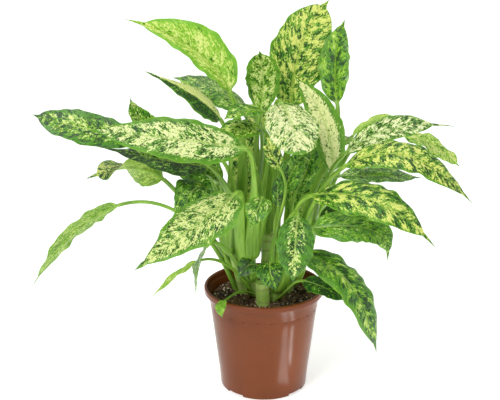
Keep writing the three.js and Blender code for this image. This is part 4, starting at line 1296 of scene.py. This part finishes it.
# Each leaf: its finish; its cane, height, bearing, lean and stalk; the base, middle and tip of its midrib;
# its width, face, fold and droop; and by name what differs from the usual leaf.
LEAVES = {
    "leaf_top_tall": Leaf(
        Tone.SPECKLED.look(cream=0.38, lime=0.55, tip=0.5, cluster=0.6),
        "cane_back", 160, 40, 0.2, 2.6, (27, 45, 276), (35, 50, 333), (62, 45, 384),
        57, (0.1, -1, 0.2), 12, 20, taper=0.58),
    "leaf_top_right": Leaf(
        Tone.LIME_BLOTCHED.look(cream=0.03, lime=0.42, cluster=0.8, size=2.8, gloss=0.7),
        "cane_right_back", 150, 0, 0.2, 2.4, (72, 35, 284), (70, 45, 326), (78, 45, 365),
        32, (-0.35, -0.9, 0.2), 24, 18),
    "leaf_top_middle": Leaf(
        Tone.LIGHT_CENTRE.look(cream=0.3, lime=0.66, spread=0.85),
        "cane_back", 160, 215, 0.1, 2.4, (-4, 25, 278), (-1, 30, 310), (-5, 15, 340),
        34, (-0.1, -0.9, 0.4), 14, 22, taper=0.5),
    "leaf_left_arching": Leaf(
        Tone.BRIGHT_LIME.look(cream=0.46, lime=0.92, dark=0.02, spread=0.84, margin=0.12, green="6eb036"),
        "cane_left", 148, 40, 0.1, 2.8, (-33, 2, 303), (-67, 2, 344), (-129, 0, 372),
        48, (0.32, -0.77, 0.72), 34, 8, body=0.9, taper=0.73),
    "leaf_left_cream_upper": Leaf(
        Tone.HALF_CREAM.look(cream=0.34, lime=0.42, cream_colour="f0f6a0", under_colour="b4da5c"),
        "cane_left", 146, 245, 0.1, 2.4, (-42, -5, 278), (-66, -15, 303), (-110, -25, 328),
        32, (0.2, -0.45, 0.87), 6, 30, taper=1.2),
    "leaf_left_dark_upper": Leaf(
        Tone.DARK.look(cream=0.12, lime=0.42, dark=0.2, gloss=0.9),
        "cane_back", 156, 170, 0.15, 2.2, (-14, 29, 277), (-50, 25, 303), (-88, 20, 313),
        34, (0.2, -0.5, 0.85), -10, 10),
    "leaf_left_long_cream": Leaf(
        Tone.CREAM.look(lime=0.55, spread=0.88, margin=0.12, size=2.4, cluster=0.5),
        "cane_front_left", 148, 280, 0.15, 2.8, (-18, -45, 260), (-86, -65, 275), (-159, -62, 282),
        43, (0.1, -0.75, 0.65), 8, 16, bend=14, taper=0.85),
    "leaf_left_reaching": Leaf(
        Tone.LIGHT_CENTRE.look(cream=0.18, lime=0.46, dark=0.35, edge=0.05, gloss=0.6),
        "cane_left", 148, 300, 0.25, 2.4, (-105, -30, 264), (-164, -40, 278), (-213, -40, 291),
        33, (0.1, -0.8, 0.6), 10, 20, bend=60, shoulder=0.7, taper=0.6),
    "leaf_left_behind_cream": Leaf(
        Tone.GREEN.look(cream=0.3, lime=0.5),
        "cane_left_back", 135, 180, 0.35, 2.2, (-85, 18, 252), (-117, 16, 270), (-129, 12, 295),
        22, (0.3, -0.8, 0.5), 14, 16),
    "leaf_left_dark": Leaf(
        Tone.DARK.look(lime=0.16, dark=0.6, deep="1e3d16", green="46742a", gloss=0.4),
        "cane_left", 132, 155, 0.4, 2.2, (-55, -5, 232), (-99, -20, 243), (-157, -25, 257),
        34, (0.05, -0.5, 0.85), 12, 20, taper=0.9, body=0.88),
    "leaf_left_curled": Leaf(
        Tone.SPECKLED.look(cream=0.3, lime=0.42, dark=0.5, under_colour="b2e048", gloss=0.8),
        "cane_left_back", 112, 185, 0.7, 2.6, (-99, 15, 212), (-132, 8, 226), (-174, 0, 217),
        41, (0, 0.6, 0.8), 10, 0, bend=20, twist=-215, taper=0.46, body=0.87),
    "leaf_left_hanging": Leaf(
        Tone.GREEN.look(cream=0.3, lime=0.5, under_colour="98cc34", gloss=0.4),
        "cane_left", 104, 175, 0.35, 2, (-141, -10, 194), (-183, -20, 170), (-225, -30, 119),
        40, (-0.64, 0.45, 0.62), 8, 8, bend=50, twist=-20, taper=0.6),
    "leaf_front_left_broad": Leaf(
        Tone.CREAM_SPECKLED.look(cream=0.46, lime=0.58, size=2.0, spread=0.88, margin=0.1),
        "cane_front_left", 136, 215, 0.4, 3.1, (-27, -50, 218), (-68, -92, 198), (-116, -112, 167),
        54, (-0.35, -0.6, 0.72), 10, 22, bend=22, taper=1),
    "leaf_front_left_narrow": Leaf(
        Tone.GREEN.look(green="7ea557", deep="6f9a52", gloss=0.8),
        "cane_front_left", 118, 185, 0.6, 1.8, (-54, -60, 170), (-61, -80, 159), (-64, -82, 132),
        30, (-0.95, -0.22, 0.15), 16, 16),
    "leaf_low_left_lime": Leaf(
        Tone.BRIGHT_LIME.look(cream=0.3, lime=0.95),
        "cane_front_left", 107, 205, 0.6, 1.4, (-64, -45, 149), (-83, -55, 140), (-107, -60, 119),
        12, (-0.62, 0.7, 0.6), 8, 8, bend=20),
    "leaf_rim_tiny": Leaf(
        Tone.GREEN.look(lime=0.7, dark=0, green="6fa040"),
        "cane_front_left", 99, 240, 0.9, 1.1, (-38, -50, 111), (-42, -62, 109), (-40, -65, 100),
        10, (-0.1, -0.9, 0.4), 10, 10, bend=14),
    "leaf_centre_round": Leaf(
        Tone.PALE.value,
        "cane_back", 160, 300, 0.15, 2.4, (15, -12, 296), (24, -52, 285), (29, -85, 265),
        48, (0.05, -0.6, 0.8), 8, 26, shoulder=0.5, taper=0.5, body=1),
    "leaf_centre_twisted": Leaf(
        Tone.CREAM.look(cream=0.84, lime=0.9, spread=0.68, margin=0.15, size=2.0, cream_colour="f2f6b0"),
        "cane_right", 146, 40, 0.3, 2.4, (66, 10, 221), (58, 8, 272), (28, 6, 318),
        32, (-0.1, -0.95, 0.3), 12, 16),
    "leaf_centre_cream": Leaf(
        Tone.SPECKLED.look(cream=0.36, lime=0.44, dark=0.36),
        "cane_front_right", 122, 225, 0.3, 1.6, (14, -50, 242), (6, -54, 259), (0, -57, 277),
        16, (0.1, -0.9, 0.4), 12, 16),
    "leaf_right_long": Leaf(
        Tone.CREAM_SPECKLED.look(dark=0.34, cream_colour="f2f4c0", cluster=0.5),
        "cane_right", 150, 350, 0.2, 2.2, (77, -10, 246), (119, -25, 274), (177, -20, 275),
        34, (-0.1, -0.5, 0.85), 12, 20, shoulder=0.8, taper=0.75, body=0.84),
    "leaf_right_rolled": Leaf(
        Tone.BRIGHT_LIME.look(cream=0.6, lime=0.96, dark=0, under_colour="bce468"),
        "cane_right_back", 140, 320, 0.3, 1.8, (87, 25, 254), (112, 30, 267), (146, 30, 270),
        24, (0, 0.5, 0.85), 16, 0),
    "leaf_right_wavy": Leaf(
        Tone.BRIGHT_LIME.look(cream=0.44),
        "cane_right_back", 120, 350, 0.6, 2, (128, 25, 262), (163, 20, 248), (191, 10, 227),
        30, (0.3, -0.35, 0.88), 8, 22, wave=(2.4, 2.5), taper=0.45),
    "leaf_right_broad": Leaf(
        Tone.SPECKLED.look(cream=0.35, lime=0.49, dark=0.3, cluster=0.6, margin=0.1),
        "cane_right", 134, 285, 0.4, 2.4, (73, -40, 241), (129, -60, 257), (191, -55, 211),
        37, (0.2, -0.5, 0.84), 10, 24, taper=0.68),
    "leaf_right_narrow": Leaf(
        Tone.DARK.look(cream=0.1, lime=0.3, dark=0.2, gloss=1.0),
        "cane_right", 120, 336, 0.6, 2, (71, -25, 228), (107, -30, 230), (148, -25, 226),
        26, (0.05, -0.35, 0.93), 14, 18),
    "leaf_front_right_broad": Leaf(
        Tone.SPECKLED.look(cream=0.22, lime=0.4, dark=0.32, cluster=0.75, size=2.3),
        "cane_front_right", 146, 300, 0.25, 2.6, (43, -55, 218), (100, -90, 223), (151, -100, 184),
        48, (0.2, -0.45, 0.85), 10, 26, body=0.9),
    # This leaf is dark green of its own, but the extra darkness of its finish (dark 0.9 and a deeper deep
    # green than the other dark leaves) is painted shade for the shadow of the leaves above it.
    "leaf_right_shaded": Leaf(
        Tone.DARK.look(dark=0.9, deep="1e3d16"),
        "cane_right", 107, 306, 0.8, 2, (52, -15, 178), (75, -25, 190), (108, -20, 172),
        28, (0.1, -0.5, 0.85), 12, 18),
    "leaf_front_right_curled": Leaf(
        Tone.GREEN.look(cream=0.05, lime=0.38, gloss=0.7, green="56942c"),
        "cane_front_right", 122, 352, 0.5, 2, (43, -45, 182), (99, -60, 186), (113, -70, 160),
        39, (0.1, -0.5, 0.85), 12, 20, shoulder=0.42, body=0.9),
    "leaf_front_hanging": Leaf(
        Tone.LIGHT_CENTRE.look(cream=0.2, lime=0.32, dark=0.4, spread=0.6, edge=0.12),
        "cane_front_right", 140, 255, 0.2, 2.2, (29, -75, 205), (26, -105, 186), (24, -110, 154),
        34, (0, -0.75, 0.65), 12, 24),
    "leaf_low_right_broad": Leaf(
        Tone.LIME_BLOTCHED.look(cream=0.08, lime=0.34, gloss=0.6, cluster=0.9, size=2.8),
        "cane_front_right", 112, 310, 0.6, 2.2, (35, -50, 161), (79, -88, 141), (103, -95, 79),
        42, (0.45, -0.45, 0.75), 12, 26, shoulder=0.36, body=0.95, taper=0.6),
    "leaf_low_right_small": Leaf(
        Tone.DARK.look(dark=0.75),
        "cane_front_right", 101, 320, 1, 1.5, (37, -40, 127), (57, -52, 125), (79, -62, 115),
        24, (0, -0.4, 0.9), 10, 18),
    "leaf_low_centre_dark": Leaf(
        Tone.DARK.look(gloss=0.9),
        "cane_front_left", 121, 275, 0.3, 1.5, (-7, -44, 144), (-16, -54, 148), (-25, -60, 138),
        20, (-0.2, -0.7, 0.6), 12, 16),
    "leaf_low_centre_heart": Leaf(
        Tone.DARK.look(lime=0.14, dark=0.55),
        "cane_front_right", 110, 250, 0.5, 1.5, (5, -54, 151), (5, -68, 147), (10, -72, 130),
        26, (0, -0.85, 0.5), 10, 18),
    "leaf_front_middle_small": Leaf(
        Tone.GREEN.look(cream=0.12, lime=0.3),
        "cane_front_left", 146, 332, 0.3, 1.8, (-3, -60, 217), (-7, -76, 212), (-14, -84, 197),
        24, (0, -0.6, 0.8), 12, 18),
    "leaf_centre_left_dark": Leaf(
        Tone.GREEN.look(cream=0.08, lime=0.32),
        "cane_back", 158, 255, 0.15, 1.8, (-1, -8, 286), (-20, -22, 291), (-38, -30, 284),
        28, (0, -0.3, 0.95), 12, 18),
    "leaf_centre_left_speckled": Leaf(
        Tone.LIME_BLOTCHED.look(cream=0.32, lime=0.56, dark=0.3),
        "cane_front_left", 148, 60, 0.1, 1.8, (-4, 0, 268), (-25, -18, 272), (-50, -26, 263),
        28, (0, -0.5, 0.85), 12, 18),
    "leaf_left_folded": Leaf(
        Tone.GREEN.look(lime=0.3, dark=0.3),
        "cane_left_back", 148, 245, 0.3, 1.8, (-48, 10, 209), (-57, 0, 222), (-70, -8, 226),
        22, (0, -0.5, 0.85), 34, 6),
    "leaf_left_shaded": Leaf(
        Tone.DARK.look(cream=0.08, lime=0.28, dark=0.3),
        "cane_left", 146, 192, 0.4, 2, (-51, -7, 206), (-68, -26, 214), (-80, -38, 180),
        38, (-0.3, -0.7, 0.65), 12, 20),
    "leaf_centre_dark": Leaf(
        Tone.DARK.look(lime=0.2, dark=0.2),
        "cane_front_right", 148, 150, 0.1, 2, (18, -30, 214), (26, -36, 237), (35, -34, 256),
        22, (-0.2, -0.9, 0.3), 18, 14),
    "leaf_centre_lime_rib": Leaf(
        Tone.DARK.look(cream=0.06, lime=0.3, dark=0.2),
        "cane_front_right", 148, 20, 0.1, 1.8, (30, -22, 211), (40, -26, 236), (47, -24, 263),
        22, (-0.2, -0.9, 0.3), 14, 14),
    "leaf_centre_narrow": Leaf(
        Tone.DARK.look(dark=0.5),
        "cane_front_right", 148, 205, 0.1, 1.6, (13, -34, 201), (12, -38, 218), (14, -38, 234),
        12, (-0.2, -0.9, 0.3), 14, 14),
    "leaf_centre_rolled": Leaf(
        Tone.CREAM_SPECKLED.look(cream=0.6, lime=0.8, dark=0.3, green="98c858"),
        "cane_front_left", 148, 16, 0.1, 1.8, (-8, -27, 233), (-11, -28, 242), (-14, -28, 252),
        14, (-0.2, -0.9, 0.3), 50, -20),
    "leaf_inner_left": Leaf(
        Tone.SPECKLED.look(cream=0.42, lime=0.6, dark=0.3, green="86b652"),
        "cane_left_back", 132, 70, 0.2, 1.8, (-17, 42, 162), (-17, 43, 205), (-20, 40, 268),
        31, (-0.1, -0.95, 0.25), 12, 16, taper=0.5, shoulder=1.1),
    "leaf_inner_far_left": Leaf(
        Tone.GREEN.look(lime=0.2, dark=0.3, green="5c9034"),
        "cane_left_back", 119, 150, 0.5, 1.8, (-44, 38, 200), (-68, 38, 217), (-98, 32, 222),
        38, (0, -0.85, 0.5), 10, 18),
    "leaf_inner_right": Leaf(
        Tone.GREEN.look(cream=0.1, lime=0.44, dark=0.25, green="6ea440"),
        "cane_right_back", 128, 30, 0.3, 1.8, (32, 43, 164), (44, 43, 200), (62, 38, 244),
        42, (0.1, -0.95, 0.25), 12, 16),
    "leaf_back_middle": Leaf(
        Tone.SPECKLED.value,
        "cane_back", 158, 95, 0.2, 2.6, (0, 70, 250), (-5, 120, 262), (-10, 170, 232),
        54, (0, 0.3, 0.95), 12, 24),
    "leaf_back_left": Leaf(
        Tone.CREAM_SPECKLED.value,
        "cane_left_back", 146, 105, 0.5, 2.4, (-45, 60, 222), (-88, 104, 228), (-130, 138, 196),
        50, (-0.3, 0.3, 0.9), 12, 24),
    "leaf_back_right": Leaf(
        Tone.SPECKLED.value,
        "cane_right_back", 142, 98, 0.45, 2.4, (50, 62, 226), (94, 106, 230), (140, 140, 196),
        50, (0.3, 0.3, 0.9), 12, 24),
    "leaf_back_low_left": Leaf(
        Tone.LIME_BLOTCHED.value,
        "cane_left_back", 115, 100, 0.45, 2.2, (-28, 62, 178), (-66, 96, 180), (-100, 122, 142),
        44, (-0.4, 0.5, 0.8), 12, 24),
    "leaf_back_low_right": Leaf(
        Tone.LIGHT_CENTRE.value,
        "cane_right_back", 112, 50, 0.45, 2.2, (44, 58, 172), (72, 92, 176), (104, 122, 138),
        44, (0.4, 0.5, 0.8), 12, 24),
    "leaf_back_low_middle": Leaf(
        Tone.CREAM_SPECKLED.value,
        "cane_back", 128, 90, 0.4, 2.2, (4, 66, 190), (6, 116, 194), (12, 156, 150),
        46, (0, 0.5, 0.85), 12, 24),
}


@dataclass
class Foliage:
    """All the leaves. A midrib's half width is rib_base millimetres and rib_share of the blade's width."""

    rib_base: float = 0.5
    rib_share: float = 0.035

    def build(self, effects: Effects) -> list[Piece]:
        """Build every leaf with its own finish.

        Args:
            effects: The shared node groups.

        Returns:
            The pieces.
        """
        pieces = []
        for seed, (name, leaf) in enumerate(LEAVES.items()):
            skin = LeafSkin(leaf, seed)
            rib = self.rib_base + self.rib_share * leaf.width
            material = leaf.finish.material(name, effects, seed + 1, skin.spacing, rib)
            pieces.append(skin.build(name, material))
        return pieces


# Pot and soil


@dataclass
class Pot:
    """The nursery pot, turned about +Z, in millimetres.

    tool_room is how far the cutting shapes of the holes and notches reach below the pot.
    """

    height: float = 107.0
    wall: float = 1.3
    lip_radius: float = 60.0
    lip_height: float = 6.0
    lip_roll: float = 1.5
    body_top_radius: float = 55.5
    body_foot_radius: float = 43.0
    step_height: float = 91.0
    line_height: float = 87.6
    step_depth: float = 0.22
    foot_chamfer: float = 2.0
    foot_inner_radius: float = 34.0
    floor_rise: float = 3.0
    floor_thickness: float = 1.8
    pad_radius: float = 14.0
    sides: int = 180
    drain_holes: int = 6
    drain_hole_radius: float = 4.0
    drain_hole_circle: float = 25.0
    drain_hole_sides: int = 32
    tool_room: float = 5.0
    notch_bearings: tuple[float, ...] = (48, 138, 228, 318)
    notch_width: float = 20.0
    lug_count: int = 24
    lug_size: Point = (3.6, 0.5, 0.9)
    lug_sections: int = 7
    lug_drop: float = 0.8

    def radius(self, height: float) -> float:
        """Find the outer radius of the tapered body at a height."""
        share = height / (self.height - self.lip_height)
        return self.body_foot_radius + (self.body_top_radius - self.body_foot_radius) * share

    def profile(self) -> list[Pair]:
        """List the points of the wall's section, from the underside's middle round to the floor's middle."""
        lip_bottom = self.height - self.lip_height
        floor_top = self.floor_rise + self.floor_thickness
        step, line, roll, rise = self.step_height, self.line_height, self.lip_roll, self.floor_rise
        lip = (self.lip_radius - roll, self.height - roll)
        under = [(0, 0), (self.pad_radius, 0), (self.pad_radius + rise * 0.6, rise * 0.35),
                 (self.pad_radius + rise, rise), (self.foot_inner_radius - rise, rise),
                 (self.foot_inner_radius - rise * 0.4, rise * 0.3), (self.foot_inner_radius, 0)]
        round_foot = self.foot_chamfer
        foot = arc((self.body_foot_radius - round_foot * 0.6, round_foot), round_foot, -90, 0, 7)
        side = [(self.radius(z), z) for z in (14, 30, 46, 62, 78, line - 1.2)]
        dip = self.step_depth
        ledge = [(self.radius(line) - dip, line - 0.4), (self.radius(line) - dip, line),
                 (self.radius(line) + dip / 2, line + dip), (self.radius(line + 2) + dip / 2, line + 2)]
        neck = [(self.body_top_radius, lip_bottom - 1.0), (self.body_top_radius + 0.5, lip_bottom - 0.2),
                (self.lip_radius - 1.4, lip_bottom)]
        outer = arc((self.lip_radius - 0.8, lip_bottom + 0.8), 0.8, -90, 0, 5)
        crest = arc(lip, roll, 0, 150, 12)
        inner = [(self.lip_radius - 2 * roll - 0.2, self.height - 2.2 * roll),
                 (self.lip_radius - 2 * roll - 1.0, lip_bottom - 0.5),
                 (self.radius(step) - self.wall, step), (self.radius(60) - self.wall, 60),
                 (self.radius(30) - self.wall, 30), (self.radius(floor_top + 2) - self.wall, floor_top + 2),
                 (self.radius(floor_top) - self.wall - 2, floor_top), (0, floor_top)]
        return [*under, *foot, *side, *ledge, *neck, *outer, *crest, *inner]

    def build(self, effects: Effects) -> list[Piece]:
        """Build the pot with its drain holes, notches and stacking lugs.

        Args:
            effects: The shared node groups.

        Returns:
            The pieces.
        """
        material = PlasticFinish().material(effects)
        points, faces = turned(self.profile(), self.sides)
        shell = make_piece("pot_shell", points, faces, material, ("pot",), sharp=40)
        cut_away(shell, [*self.drills(), *self.notch_tools()])
        shell.data.set_sharp_from_angle(angle=math.radians(40))
        return [shell, self.lugs(material)]

    def tool(self, name: str, outline: np.ndarray, low: float, high: float) -> Piece:
        """Make a straight-sided cutting shape over an outline, between two heights."""
        count = len(outline)
        points = np.vstack([np.column_stack([outline, np.full(count, z)]) for z in (low, high)])
        return add_object(name, make_mesh(name, points, capped_faces(2, count)))

    def drills(self) -> list[Piece]:
        """Make the cutting shapes of the drain holes."""
        hole = self.drain_hole_radius * circle(self.drain_hole_sides)
        centres = self.drain_hole_circle * circle(self.drain_holes)
        low, high = -self.tool_room, 2 * self.tool_room
        return [self.tool(f"drill_{number}", hole + centre, low, high)
                for number, centre in enumerate(centres)]

    def notch_tools(self) -> list[Piece]:
        """Make the cutting shapes of the notches in the foot ring."""
        inner, outer = self.foot_inner_radius - 4.0, self.body_foot_radius + 8.0
        half = self.notch_width / 2
        box = np.array([(inner, -half), (outer, -half), (outer, half), (inner, half)])
        tools = []
        for number, degrees in enumerate(self.notch_bearings):
            a = math.radians(degrees)
            turned_box = box @ np.array([[math.cos(a), math.sin(a)], [-math.sin(a), math.cos(a)]])
            tools.append(self.tool(f"notch_{number}", turned_box, -self.tool_room, self.floor_rise - 0.3))
        return tools

    def lugs(self, material: Material) -> Piece:
        """Build the short raised marks along the stacking line."""
        length, depth, height = self.lug_size
        radius = self.radius(self.line_height) - self.step_depth
        half, middle_height = length / 2 / radius, self.line_height - self.lug_drop
        points, faces = [], []
        for number in range(self.lug_count):
            middle = (number + 0.5) / self.lug_count * 2 * math.pi
            faces += capped_faces(self.lug_sections, 5, len(points))
            for share in np.linspace(-1, 1, self.lug_sections):
                angle = middle + half * share
                rise = depth * (1 - abs(share) ** 4) + 0.02
                inner, edge, crest = radius - 0.4, radius + rise * 0.7, radius + rise
                section = ((inner, -1), (edge, -1), (crest, 0), (edge, 1), (inner, 1))
                points += [
                    (reach * math.cos(angle), reach * math.sin(angle), middle_height + side * height / 2)
                    for reach, side in section
                ]
        return make_piece("pot_lugs", np.array(points), faces, material, ())


@dataclass
class Soil:
    """The soil that fills the pot: its uneven bed, crumbs of bark and pale grains, in millimetres.

    lumps' rows hold a height, a length and a seed. grain_shape and grain_flat are the least and greatest
    stretch of a grain's single points and of its three directions, and grain_rise is how far it stands out,
    as a share of its size.
    """

    pot: Pot
    edge_height: float = SOIL_EDGE_HEIGHT
    crown: float = 3.0
    sunk: float = 0.4
    lumps: tuple[tuple[float, float, int], ...] = ((1.1, 9.0, 5), (0.8, 4.0, 6), (0.5, 1.8, 7))
    clearance: float = 0.35
    edge_depth: float = 4.0
    foot_gap: float = 2.4
    ring_crowding: float = 0.8
    rings: int = 64
    sides: int = 200
    crumb_count: int = 1900
    grain_count: int = 620
    grain_gap: float = 1.8
    grain_bias: float = 2.2
    grain_rise: Pair = (-0.1, 0.5)
    grain_shape: Pair = (0.7, 1.25)
    grain_flat: Pair = (0.45, 1.1)

    def height(self, x: np.ndarray, y: np.ndarray) -> np.ndarray:
        """Find the height of the soil's surface."""
        share = np.hypot(x, y) / self.pot.lip_radius
        crowned = self.edge_height + self.crown * (1 - share**2)
        lumps = sum(size * value_noise(x, y, length, seed) for size, length, seed in self.lumps)
        return crowned + lumps - self.sunk

    def build(self, effects: Effects) -> list[Piece]:
        """Build the soil.

        Args:
            effects: The shared node groups.

        Returns:
            The pieces.
        """
        dark = SoilFinish("soil_bed_finish", "6a5040", "1e1510").material(effects)
        bark = SoilFinish("soil_crumb_finish", "86664a", "20170f", cloud=60.0).material(effects)
        pale = SoilFinish("soil_grain_finish", "fff8ea", "dccaa8", cloud=90.0).material(effects)
        return [
            self.bed(dark),
            self.scatter("soil_crumbs", self.crumb_count, (0.7, 2.6), 11, bark),
            self.scatter("soil_pale_grains", self.grain_count, (0.55, 1.5), 12, pale),
        ]

    def bed(self, material: Material) -> Piece:
        """Build the body of the soil, with a lumpy top."""
        bottom = self.pot.floor_rise + self.pot.floor_thickness + self.clearance
        inside = self.pot.radius(self.pot.step_height) - self.pot.wall - self.clearance
        foot = self.pot.radius(bottom) - self.pot.wall - self.foot_gap
        turn = circle(self.sides)
        reaches = inside * (np.linspace(1, 0, self.rings + 1)[:-1]) ** self.ring_crowding
        rings = [np.column_stack([turn * foot, np.full(self.sides, bottom)]),
                 np.column_stack([turn * inside, np.full(self.sides, self.edge_height - self.edge_depth)])]
        for reach in reaches:
            x, y = (turn * reach).T
            rings.append(np.column_stack([x, y, self.height(x, y)]))
        faces = capped_faces(len(rings), self.sides)
        return make_piece("soil_bed", np.vstack(rings), faces, material, ("soil",))

    def scatter(self, name: str, count: int, sizes: Pair, seed: int, material: Material) -> Piece:
        """Scatter uneven grains over the bed.

        Args:
            name: Name of the piece.
            count: How many grains.
            sizes: Least and greatest radius of a grain.
            seed: Seed of their places, sizes and shapes.
            material: Their finish.

        Returns:
            The piece.
        """
        draw = np.random.default_rng(ROOT_SEED + seed)
        ball, sides = self.ball()
        room = self.pot.radius(self.pot.step_height) - self.pot.wall - self.grain_gap
        reach = room * np.sqrt(draw.uniform(0, 1, count))
        bearing = draw.uniform(0, 2 * math.pi, count)
        x, y = reach * np.cos(bearing), reach * np.sin(bearing)
        size = sizes[0] + (sizes[1] - sizes[0]) * draw.uniform(0, 1, count) ** self.grain_bias
        z = self.height(x, y) + size * draw.uniform(*self.grain_rise, count)
        points, faces = [], []
        for number in range(count):
            shape = ball * draw.uniform(*self.grain_shape, (len(ball), 1)) * draw.uniform(*self.grain_flat, 3)
            turn, _ = np.linalg.qr(draw.normal(size=(3, 3)))
            turn *= np.sign(np.linalg.det(turn))
            points.append(shape @ turn * size[number] + (x[number], y[number], z[number]))
            faces += [tuple(number * len(ball) + corner for corner in side) for side in sides]
        return make_piece(name, np.vstack(points), faces, material, (), sharp=50)

    def ball(self) -> tuple[np.ndarray, Faces]:
        """Make the twelve points and twenty faces that each grain starts from."""
        golden = (1 + math.sqrt(5)) / 2
        corners = np.array([(a, b, 0) for a in (-1, 1) for b in (-golden, golden)], float)
        points = unit(np.vstack([np.roll(corners, shift, axis=1) for shift in range(3)]))
        near = np.linalg.norm(points[:, None] - points[None], axis=2)
        edge = 1.3 * near[near > 0].min()
        sides = []
        for a in range(12):
            for b in range(a + 1, 12):
                for c in range(b + 1, 12):
                    if max(near[a, b], near[b, c], near[a, c]) < edge:
                        normal = np.cross(points[b] - points[a], points[c] - points[a])
                        sides.append((a, b, c) if np.dot(normal, points[a]) > 0 else (a, c, b))
        return points, sides


# Studio


@dataclass(frozen=True)
class SoftBox:
    """One soft light: its place, the point it faces, its size, its power and its turn about the vertical."""

    name: str
    place: Point
    aim: Point
    size: Pair
    power: float
    turn: float = 0.0


@dataclass
class Studio:
    """The pale floor, the soft lights and the camera, in metres."""

    camera_place: Point = (-0.014, -0.979, 0.514)
    camera_pitch: float = 72.0
    lens: float = 75.7
    sensor: float = 36.0
    floor_half: float = 8.0
    floor_glow: Pair = (0.6, 0.85)
    glow_reach: Pair = (0.5, 3.5)
    sky: float = 0.48
    boxes: tuple[SoftBox, ...] = (
        SoftBox("key_light", (-0.9, -1.5, 1.7), (0, 0, 0.22), (0.75, 0.75), 24.0),
        SoftBox("top_light", (0.3, 0.2, 2.2), (0, 0, 0.2), (1.6, 1.6), 14.0),
        SoftBox("low_light_near", (0.078, -0.092, 0.001), (0.078, -0.092, 1), (0.025, 0.115), 0.034, 47.0),
        SoftBox("low_light_far", (0.112, -0.076, 0.001), (0.112, -0.076, 1), (0.01, 0.09), 0.03, 64.0),
    )

    def build(self) -> None:
        """Make the camera first, then the floor, the lights and the sky."""
        self.make_camera()
        self.make_floor()
        for box in self.boxes:
            self.make_light(box)
        self.make_sky()

    def make_camera(self) -> None:
        """Place the camera at the photograph's angle."""
        data = bpy.data.cameras.new("camera")
        data.lens = self.lens
        data.sensor_width = self.sensor
        data.clip_end = 50.0
        camera = add_object("camera", data)
        camera.location = self.camera_place
        camera.rotation_euler = (math.radians(self.camera_pitch), 0, 0)
        bpy.context.scene.camera = camera

    def make_floor(self) -> None:
        """Lay the pale floor."""
        half = self.floor_half
        mesh = bpy.data.meshes.new("floor")
        corners = [(-half, -half, 0), (half, -half, 0), (half, half, 0), (-half, half, 0)]
        mesh.from_pydata(corners, [], [(0, 1, 2, 3)])
        surface = Surface("floor_finish")
        graph = surface.graph
        place = graph.place()
        cloud = graph.times(graph.noise(place, 1.5), 0.1)
        away = graph.vector("LENGTH", {0: place}).outputs["Value"]
        glow = graph.blend(graph.step(away, *self.glow_reach), *self.floor_glow)
        mesh.materials.append(surface.finish({
            "Base Color": graph.mix(cloud, linear("dedede"), linear("d8d8d8")), "Roughness": 0.9,
            "Emission Color": graph.join(glow, glow, glow), "Emission Strength": 1.0,
        }))
        floor = add_object("floor", mesh)

    def make_light(self, box: SoftBox) -> None:
        """Place one soft light."""
        data = bpy.data.lights.new(box.name, "AREA")
        data.shape = "RECTANGLE"
        data.size, data.size_y = box.size
        data.energy = box.power
        light = add_object(box.name, data)
        light.location = box.place
        towards = Vector(box.aim) - Vector(box.place)
        turn = Quaternion((0, 0, 1), math.radians(box.turn))
        light.rotation_euler = (turn @ towards.to_track_quat("-Z", "Y")).to_euler()

    def make_sky(self) -> None:
        """Fill the room with even white light."""
        world = bpy.data.worlds.new("studio")
        world.use_nodes = True
        background = world.node_tree.nodes["Background"]
        background.inputs["Color"].default_value = (1, 1, 1, 1)
        background.inputs["Strength"].default_value = self.sky
        scene = bpy.context.scene
        scene.world = world
        scene.view_settings.view_transform = "Standard"


def main() -> None:
    """Build the studio, the pot, the soil, the canes and the leaves."""
    logging.basicConfig(level=logging.INFO, format="%(message)s")
    Studio().build()
    effects = Effects()
    pot = Pot()
    for title, assembly in (("pot", pot), ("soil", Soil(pot)), ("canes", Canes()), ("leaves", Foliage())):
        pieces = assembly.build(effects)
        for piece in pieces:
            log.info("%s: %s, %d faces", title, piece.name, len(piece.data.polygons))


if __name__ == "__main__":
    main()
